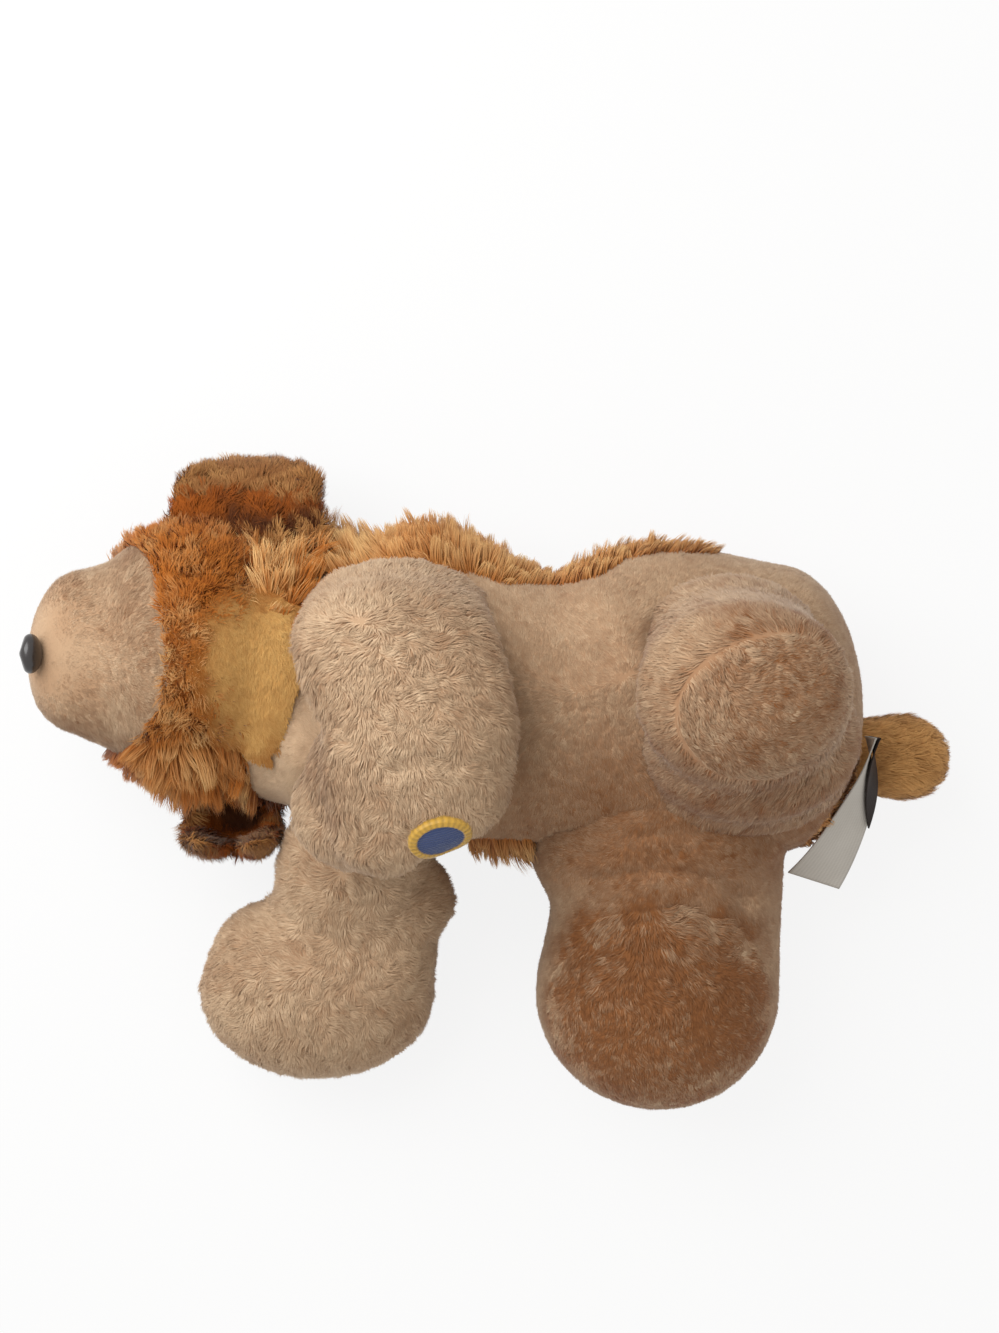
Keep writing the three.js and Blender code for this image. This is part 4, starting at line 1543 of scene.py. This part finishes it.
@dataclass
class Ear:
    """One floppy ear: a cupped flap of brown plush with a lining in its hollow."""

    side: Side
    x: float
    root_y: float
    sweep: float
    root_width: float
    half_width: float
    reach: float
    seed: int
    cup: float
    lip: float
    lining: Oval
    root_height: float = 28.0
    drop: float = 22.0
    widest: float = 0.6
    taper: float = 0.17
    least: float = 0.1
    thick: float = 3.0

    @property
    def label(self) -> str:
        """Name of the ear's body."""
        return f"{self.side.name.lower()}_ear"

    def flap(self, u: Array, v: Array) -> Array:
        """Places on the middle of the flap.

        Args:
            u: From the root at 0 to the tip at 1.
            v: From one edge at -1 to the other at 1.

        Returns:
            One place for each pair.
        """
        bend = u * math.pi / 2
        swell = np.sin(np.minimum(u / self.widest, 1) * math.pi / 2)
        past = np.maximum(u - self.widest, 0)
        tip = np.sqrt(np.maximum(1 - past**2 / self.taper, self.least))
        wide = (self.root_width + (self.half_width - self.root_width) * swell) * tip
        bend = bend * (1 - 0.35 * np.abs(v) ** 3 * smoothstep(0.2, 1.0, u))
        rise = self.cup * v**2 * swell + self.lip * smoothstep(0.45, 1.0, u)
        return np.stack(
            [
                self.x + self.sweep * u + v * wide,
                self.root_y + self.side.value * self.reach * np.sin(bend),
                self.root_height - self.drop * (1 - np.cos(bend)) + rise,
            ],
            axis=-1,
        )

    def cut(self) -> None:
        """Cuts the fabric of the ear as a thin closed flap."""
        rows, columns = 22, 26
        u = np.linspace(0.0, 1.0, rows)[:, None] + np.zeros(columns)
        v = np.linspace(-1.0, 1.0, columns) + np.zeros((rows, 1))
        middle = self.flap(u, v)
        across, along = np.gradient(middle, axis=1), np.gradient(middle, axis=0)
        up = unit(np.cross(across, along)) * self.side.value
        edge = np.sqrt(np.clip(1 - v**8, 0.1, 1)) * np.sqrt(np.clip(1 - u**10, 0.1, 1))
        half = (self.thick / 2 * edge)[..., None]
        top, under = middle + up * half, middle - up * half
        rings = np.concatenate([top, under[:, ::-1]], axis=1)
        if self.side is Side.RIGHT:
            rings = rings[:, ::-1]
        self.skin = Skin(f"{self.label}_fabric", (Loft(rings),), 0.0, join=False)

    def on_lining(self, points: Array, normals: Array) -> Array:
        """Which points are on the lining, inside the flap."""
        place = (points - np.array(self.lining.centre)) / np.array(self.lining.half)
        return (normals[:, 2] > 0.1) & ((place**2).sum(1) < 1 + 0.4 * waves(points, 4, self.seed))

    def shade(self, points: Array) -> Array:
        """Tone of the lining: deeper at the back on the left with a painted shadow along its lower
        edge, and painted shade deep in the hollow on the right.
        """
        place = (points - np.array(self.lining.centre)) / np.array(self.lining.half)
        if self.side is Side.LEFT:
            # The low term paints a shadow along the lower edge of the left lining.
            back, low = smoothstep(-0.7, 0.5, place[:, 0]), smoothstep(0.1, -0.6, place[:, 1])
            return 0.05 + 0.4 * back + 0.6 * low + 0.1 * waves(points, 6, self.seed)
        # Right ear: painted shade, deepest in the middle of the cup's hollow.
        away = ((place[:, :2] - np.array([0.15, 0.45])) ** 2).sum(1)
        return 0.1 + 0.9 * smoothstep(0.55, 0.15, away) + 0.1 * waves(points, 6, self.seed)

    def dress(self) -> None:
        """Grows the pile outside and on the lining."""
        way = (0.15, float(self.side.value), -0.1)
        comb = Comb(Lay.ALONG, way, wander=0.9, size=9, seed=self.seed)
        outer = Growth(NAPPED, comb, self.seed + 1, lambda p: 0.84 + 0.12 * waves(p, 14, 9))
        inner = Growth(NAPPED, comb, self.seed + 2, self.shade)
        name, skin = self.label, self.skin
        fur = plush_piece(f"{name}_plush", skin, lambda p, n: ~self.on_lining(p, n), [outer], BROWN)
        lining = plush_piece(f"{name}_lining_cloth", skin, self.on_lining, [inner], LINING)
        filled(fur, name, EAR_FILL, f"{name}_fur")
        filled(lining, name, EAR_FILL, f"{name}_lining")


@dataclass
class Labels:
    """Two blank ribbons sewn into the rump seam beside the tail; the near-black one is painted
    shade for the inside of the care label's fold.
    """

    x: float = 72.97
    y: float = -5.0
    z: float = 47.0
    half_width: float = 8.0
    twist: float = 1.35
    inward: float = 11.0
    fall: float = 17.0
    skew: float = 2.6
    margin: float = 0.82
    long: float = 39.0
    short: float = 23.0
    apart: float = 1.0
    thick: float = 0.4

    def surface(self, run: Array, v: Array) -> Array:
        """Places on the ribbon.

        Args:
            run: Distance from the seam.
            v: From one edge at -1 to the other at 1.

        Returns:
            One place for each pair.
        """
        fall = run / self.long
        turn = self.twist * fall**0.85
        ripple = 0.4 * np.sin(run / 5.5 + v) * np.minimum(fall * 3, 1)
        wide = v * self.half_width
        return np.stack(
            [
                self.x - self.inward * fall**2 - wide * np.sin(turn) + ripple * np.cos(turn),
                self.y - run + self.skew * v * fall**2,
                self.z - self.fall * fall**2 + wide * np.cos(turn) + ripple * np.sin(turn),
            ],
            axis=-1,
        )

    def ribbon(
        self, name: str, node: str, length: float, ends: Array, offset: float, finish: Ribbon
    ) -> None:
        """One ribbon, as thin cloth with two faces.

        Args:
            name: Name of the piece.
            node: Solid that it stands for.
            length: Length from the seam.
            ends: Far edge at each row, as a place across the ribbon.
            offset: How far it lies from the surface between the ribbons.
            finish: What it is woven from.
        """
        rows, columns = len(ends), 20
        run = np.linspace(0.0, length, rows)[:, None] + np.zeros(columns)
        near_edge = np.minimum(ends.min(), -self.margin)
        v = near_edge + (ends[:, None] - near_edge) * np.linspace(0.0, 1.0, columns)
        middle = self.surface(run, v)
        across = np.gradient(self.surface(run, np.linspace(-1, 1, columns) + 0 * run), axis=1)
        along = np.gradient(self.surface(run, 0 * run), axis=0)
        out = unit(np.cross(across, along))
        near, far = (middle + out * (offset + side * self.thick / 2) for side in (-1, 1))
        points = np.concatenate([near, far[:, ::-1]], axis=1)
        flat = np.stack([v * 0.2 + 0.5, run / self.long], axis=-1)
        places = np.concatenate([flat, flat[:, ::-1]], axis=1)
        piece = gridded(name, points, places)
        fitted(piece, finish, "labels", node)
        size = (2 * self.half_width * MM, length * MM)
        share = float((ends - near_edge).mean() / 2)
        area = size[0] * size[1] * min(share, 1.0)
        LOG.info("%s: %.0f mm long", name, length)

    def dress(self) -> None:
        """Sews both ribbons in; the dark one, painted shade for the inside of the care label's
        fold, is cut aslant.
        """
        slant = np.linspace(0.0, 1.0, 50)
        self.ribbon("care_ribbon", "care_label", self.long, np.ones(60), 0.0, WHITE_RIBBON)
        cut = 1 - (1 + self.margin) * slant**1.3 + 0.04
        # The dark ribbon is painted shade: the inside of the care label's fold, cut aslant as the
        # shade narrows.
        self.ribbon("painted_shade_ribbon", "dark_label", self.short, cut, self.apart, PAINTED_SHADE_RIBBON)


@dataclass
class PawPatch:
    """A plain oval patch of satin stitches on the left front paw."""

    x: float = -36.0
    y: float = -27.0
    half_length: float = 7.4
    half_width: float = 5.6
    turn: float = 0.25
    stand_off: float = 1.5
    rim_from: float = 0.74
    rim_stitches: float = 34.0
    field_stitches: float = 5.2

    def settle(self, skin: Skin) -> None:
        """Finds the spot on the paw and the directions there.

        Args:
            skin: Fabric of the paw.
        """
        spot, normal, _, _ = skin.tree.ray_cast(Vector((self.x, self.y, 140.0)), Vector((0, 0, -1)))
        self.spot, self.up = np.array(spot), np.array(normal)
        lead = np.array([math.cos(self.turn), math.sin(self.turn), 0.0])
        self.along = unit(lead - self.up * (lead @ self.up))
        self.across = np.cross(self.up, self.along)

    def bare(self, points: Array) -> Array:
        """Which points lie under the patch."""
        away = points - self.spot
        along, across = away @ self.along / self.half_length, away @ self.across / self.half_width
        return (along**2 + across**2 < 1.1) & (away @ self.up > -10)

    def dress(self, skin: Skin) -> None:
        """Lays the stitches on the paw.

        Args:
            skin: Fabric of the paw.
        """
        rows, columns = 44, 160
        out = np.linspace(0.01, 1.0, rows)[:, None]
        turn = np.linspace(0, math.tau, columns, endpoint=False)[None, :]
        along = self.half_length * out * np.cos(turn)
        across = self.half_width * out * np.sin(turn)
        rim = smoothstep(0.7, 0.78, out) * (1 - smoothstep(0.94, 1.0, out) * 0.9)
        rim_threads, field_threads = turn * self.rim_stitches, across * self.field_stitches
        threads = np.where(out > self.rim_from, rim_threads, field_threads)
        height = self.stand_off + 0.5 * rim + 0.16 * np.abs(np.sin(threads))
        above = self.spot + along[..., None] * self.along + across[..., None] * self.across
        above = above + 8 * self.up
        points = np.empty((rows, columns, 3))
        for row, column in np.ndindex(rows, columns):
            start = Vector(above[row, column])
            spot, normal, _, _ = skin.tree.ray_cast(start, Vector(-self.up))
            if spot is None:
                spot, normal, _, _ = skin.tree.find_nearest(start)
            points[row, column] = spot + normal * height[row, column]
        edge = points[-1:] - self.up * self.stand_off
        points = np.concatenate([points, edge])
        stitch = np.where(out > self.rim_from, turn / 6.0, across / 8.0)
        places = np.stack(np.broadcast_arrays(stitch, out), axis=-1)
        places = np.concatenate([places, places[-1:]])
        piece = gridded("paw_stitching", points, places)
        fitted(piece, PATCH_THREAD, "left_front_leg", "paw_patch")


@dataclass
class Studio:
    """Pale floor, soft light and the camera straight above."""

    camera_place: Point = (-22.0, 13.0, 520.0)
    image_width: float = 999.0
    focal_pixels: float = 1846.0
    sensor: float = 36.0
    floor_half: float = 3000.0
    fill: float = 0.6
    key_watts: float = 2.35
    key_place: Point = (-280.0, 230.0, 460.0)
    key_size: float = 440.0
    key_aim: Point = (-20.0, 0.0, 40.0)
    floor_glow: float = 0.85

    def build(self) -> None:
        """Makes the camera, the floor and the lights."""
        camera = bpy.data.cameras.new("camera")
        camera.sensor_fit = "HORIZONTAL"
        camera.sensor_width = self.sensor
        camera.lens = self.sensor * self.focal_pixels / self.image_width
        camera.clip_start = 0.01
        holder = bpy.data.objects.new("camera", camera)
        holder.location = Vector(self.camera_place) * MM
        bpy.context.scene.collection.objects.link(holder)
        bpy.context.scene.camera = holder
        self.lay_floor()
        key = bpy.data.lights.new("key", "AREA")
        key.energy = self.key_watts
        key.size = self.key_size * MM
        lamp = bpy.data.objects.new("key", key)
        lamp.location = Vector(self.key_place) * MM
        aim = Vector(self.key_aim) * MM - lamp.location
        lamp.rotation_euler = aim.to_track_quat("-Z", "Y").to_euler()
        bpy.context.scene.collection.objects.link(lamp)
        self.light_sky()
        bpy.context.scene.view_settings.view_transform = "Standard"

    def light_sky(self) -> None:
        """Soft light from all round, which the camera sees as white."""
        sky = bpy.data.worlds.new("studio")
        sheet = NodeSheet("studio", sky)
        tint = {"Color": (1.0, 0.985, 0.96, 1.0), "Strength": self.fill}
        soft = sheet.node("ShaderNodeBackground", {}, tint)
        white = sheet.node("ShaderNodeBackground", {}, {"Color": WHITE, "Strength": 1.0})
        both = sheet.node("ShaderNodeMixShader", {}, {0: sheet.shown(), 1: soft, 2: white})
        sheet.node_output(both, "ShaderNodeOutputWorld")
        bpy.context.scene.world = sky

    def lay_floor(self) -> None:
        """Pale floor that the camera sees nearly white, and that keeps a soft shadow."""
        half = self.floor_half
        corners = np.array([[-half, -half, 0], [half, -half, 0], [half, half, 0], [-half, half, 0]])
        mesh = bpy.data.meshes.new("floor")
        mesh.from_pydata(corners * MM, [], [(0, 1, 2, 3)])
        sheet = NodeSheet("pale_floor")
        diffuse = sheet.node("ShaderNodeBsdfDiffuse", {}, {"Color": (0.86, 0.86, 0.86, 1.0)})
        glow = sheet.node("ShaderNodeEmission", {}, {"Color": WHITE, "Strength": 1.0})
        share = sheet.shown() * self.floor_glow
        both = sheet.node("ShaderNodeMixShader", {}, {0: share, 1: diffuse, 2: glow})
        sheet.node_output(both)
        mesh.materials.append(sheet.material)
        floor = linked("floor", mesh)


def legs(patch: PawPatch) -> list[Leg]:
    """The four legs.

    Args:
        patch: Patch on the left front paw.

    Returns:
        Left front, right front, left hind and right hind leg.
    """
    left_front = Leg(
        name="left_front_leg",
        forms=(
            Oval((-48.0, 26.0, 56.0), (26.0, 15.5, 15.5)),
            Tube(
                (
                    Section(-48.0, 26.0, 56.0, 25.0, 14.0),
                    Section(-47.0, 18.0, 74.0, 27.0, 14.5),
                    Section(-40.0, 0.0, 82.5, 24.5, 15.0),
                    Section(-41.5, -11.0, 81.5, 25.0, 15.0),
                    Section(-39.5, -19.5, 79.5, 23.0, 14.5),
                ),
                sideways=(1, 0, 0),
                start_round=10.5,
                end_round=13.5,
            ),
            Oval((-49.5, -25.0, 77.5), (15.0, 14.0, 13.5)),
            Oval((-56.0, -21.5, 65.5), (19.5, 17.5, 15.5)),
            Oval((-57.5, -12.0, 71.5), (13.5, 15.0, 13.5)),
        ),
        comb=Comb(Lay.OUT_FROM, (-58.0, 36.0, 100.0), wander=1.0, size=7, seed=51),
        bend=((-48.0, 26.0, 50.0), (-46.0, 18.0, 76.0)),
        seed=61,
        creases=(Crease(((-48.2, -10.7), (-40.2, -7.7), (-28.8, -8.4), (-17.3, -11.9)), 0.9, 2.6),),
        bare=patch.bare,
    )
    right_front = Leg(
        name="right_front_leg",
        forms=(
            Oval((-50.0, -24.0, 40.0), (17.0, 17.0, 17.0)),
            Tube(
                (
                    Section(-50.0, -24.0, 40.0, 15.5, 15.5),
                    Section(-58.5, -37.0, 34.5, 23.5, 17.0),
                    Section(-58.0, -50.0, 28.0, 27.5, 18.0),
                ),
                sideways=(1, 0, 0),
                start_round=12.0,
                end_round=16.0,
            ),
            Oval((-70.5, -73.5, 23.5), (34.0, 25.5, 24.0)),
            Oval((-82.0, -66.0, 22.5), (20.0, 19.0, 20.0)),
            Oval((-52.0, -64.0, 26.0), (16.5, 17.0, 18.0)),
        ),
        comb=Comb(Lay.OUT_FROM, (-66.0, -44.0, 70.0), wander=0.9, size=8, seed=52),
        bend=((-50.0, -28.0, 38.0), (-57.0, -48.0, 30.0)),
        seed=64,
    )
    left_hind = Leg(
        name="left_hind_leg",
        forms=(
            Oval((36.0, 19.0, 57.0), (24.0, 19.0, 19.0)),
            Oval((40.0, -5.0, 64.0), (29.0, 22.0, 22.0)),
            Oval((38.0, -12.0, 54.0), (31.0, 20.0, 13.0)),
            Tube(
                (Section(36.0, 19.0, 57.0, 22.5, 17.5), Section(36.0, 6.5, 82.0, 27.5, 25.0)),
                sideways=(1, 0, 0),
                start_round=14.0,
                end_round=22.0,
            ),
        ),
        comb=Comb(Lay.ALONG, (-0.3, -0.2, -1.0), wander=0.6, seed=53),
        bend=((36.0, 17.0, 55.0), (36.0, 10.0, 78.0)),
        seed=67,
        creases=(Crease(((14.7, 4.9), (16.3, 13.3), (21.6, 19.5), (30.2, 24.7)), 0.4, 3.0),),
        sole=Oval((42.5, -0.5, 100.0), (25.0, 21.0, 16.0)),
        sole_from=(8.0, 24.0, 94.0),
        sole_tone=0.62,
        tone=belly_tone,
    )
    right_hind = Leg(
        name="right_hind_leg",
        forms=(
            Tube(
                (
                    Section(24.0, -7.0, 34.5, 33.0, 27.0),
                    Section(20.0, -30.0, 34.5, 37.5, 27.0),
                    Section(21.5, -47.0, 32.0, 33.0, 26.0),
                    Section(19.5, -73.0, 30.5, 34.5, 31.0),
                ),
                sideways=(1, 0, 0),
                start_round=13.0,
                end_round=33.0,
            ),
        ),
        comb=Comb(Lay.OUT_FROM, (22.0, -10.0, 100.0), wander=0.5, seed=54),
        bend=((27.0, -30.0, 36.0), (24.0, -58.0, 31.0)),
        seed=70,
        creases=(
            Crease(((-5.0, -27.0), (10.0, -29.5), (31.0, -27.5)), 1.0, 2.4),
            Crease(((-2.0, -33.0), (14.0, -34.5), (24.0, -33.0)), 0.8, 2.0),
            Crease(
                path=((-0.2, -41.0), (16.3, -37.7), (26.2, -39.0), (34.7, -42.0), (41.2, -47.0)),
                depth=1.6,
                width=2.4,
            ),
            Crease(
                path=((2.3, -56.9), (11.3, -50.9), (20.5, -49.4), (33.0, -55.9), (41.2, -61.9)),
                depth=1.0,
                width=2.2,
            ),
        ),
        sole=Oval((18.5, -76.0, 52.0), (31.0, 29.0, 22.0)),
        sole_from=(17.0, -47.0, 64.0),
        # Deeper than the left sole: partly the sole's tan, partly painted shade where the light
        # falls off.
        sole_tone=0.94,
        tone=belly_tone,
        coat=VELVET,
    )
    return [left_front, right_front, left_hind, right_hind]


def ears() -> list[Ear]:
    """The left and the right ear."""
    left = Ear(
        side=Side.LEFT,
        x=-87.5,
        root_y=43.0,
        sweep=-0.5,
        root_width=21.5,
        half_width=18.5,
        reach=23.5,
        seed=81,
        cup=4.0,
        lip=5.0,
        lining=Oval((-91.5, 52.0, 36.0), (22.0, 6.5, 24.0)),
        root_height=42.0,
        drop=34.0,
        taper=0.29,
        thick=5.0,
    )
    right = Ear(
        side=Side.RIGHT,
        x=-92.5,
        root_y=-17.0,
        sweep=0.0,
        root_width=10.0,
        half_width=12.5,
        reach=18.5,
        seed=84,
        cup=10.0,
        lip=16.0,
        lining=Oval((-92.5, -28.0, 24.0), (13.0, 9.5, 20.0)),
        thick=4.0,
    )
    return [left, right]


def main() -> None:
    """Builds the toy and the studio round it."""
    logging.basicConfig(level=logging.INFO, format="%(name)s: %(message)s")
    Studio().build()
    torso, head, throat, tail, patch = Torso(), Head(), Throat(), Tail(), PawPatch()
    limbs, flaps = legs(patch), ears()
    parts = [torso, head, tail, *limbs]
    for part in [*parts, throat, *flaps]:
        part.cut()
    stuffed([part.skin for part in parts])
    for part in [*parts, throat, *flaps]:
        part.skin.sew()
    patch.settle(limbs[0].skin)
    for part in parts:
        part.skin.covers = [other.skin for other in parts if other is not part]
    throat.skin.covers = [limb.skin for limb in limbs]
    for ear in flaps:
        ear.skin.covers = [head.skin]
    for part in [*parts, throat, *flaps]:
        part.dress()
    patch.dress(limbs[0].skin)
    Labels().dress()
    washer = WASHER_PLASTIC.material()
    for node in ("nose_washer", "left_eye_washer", "right_eye_washer"):
        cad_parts[node].data.materials.clear()
        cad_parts[node].data.materials.append(washer)


if __name__ == "__main__":
    main()
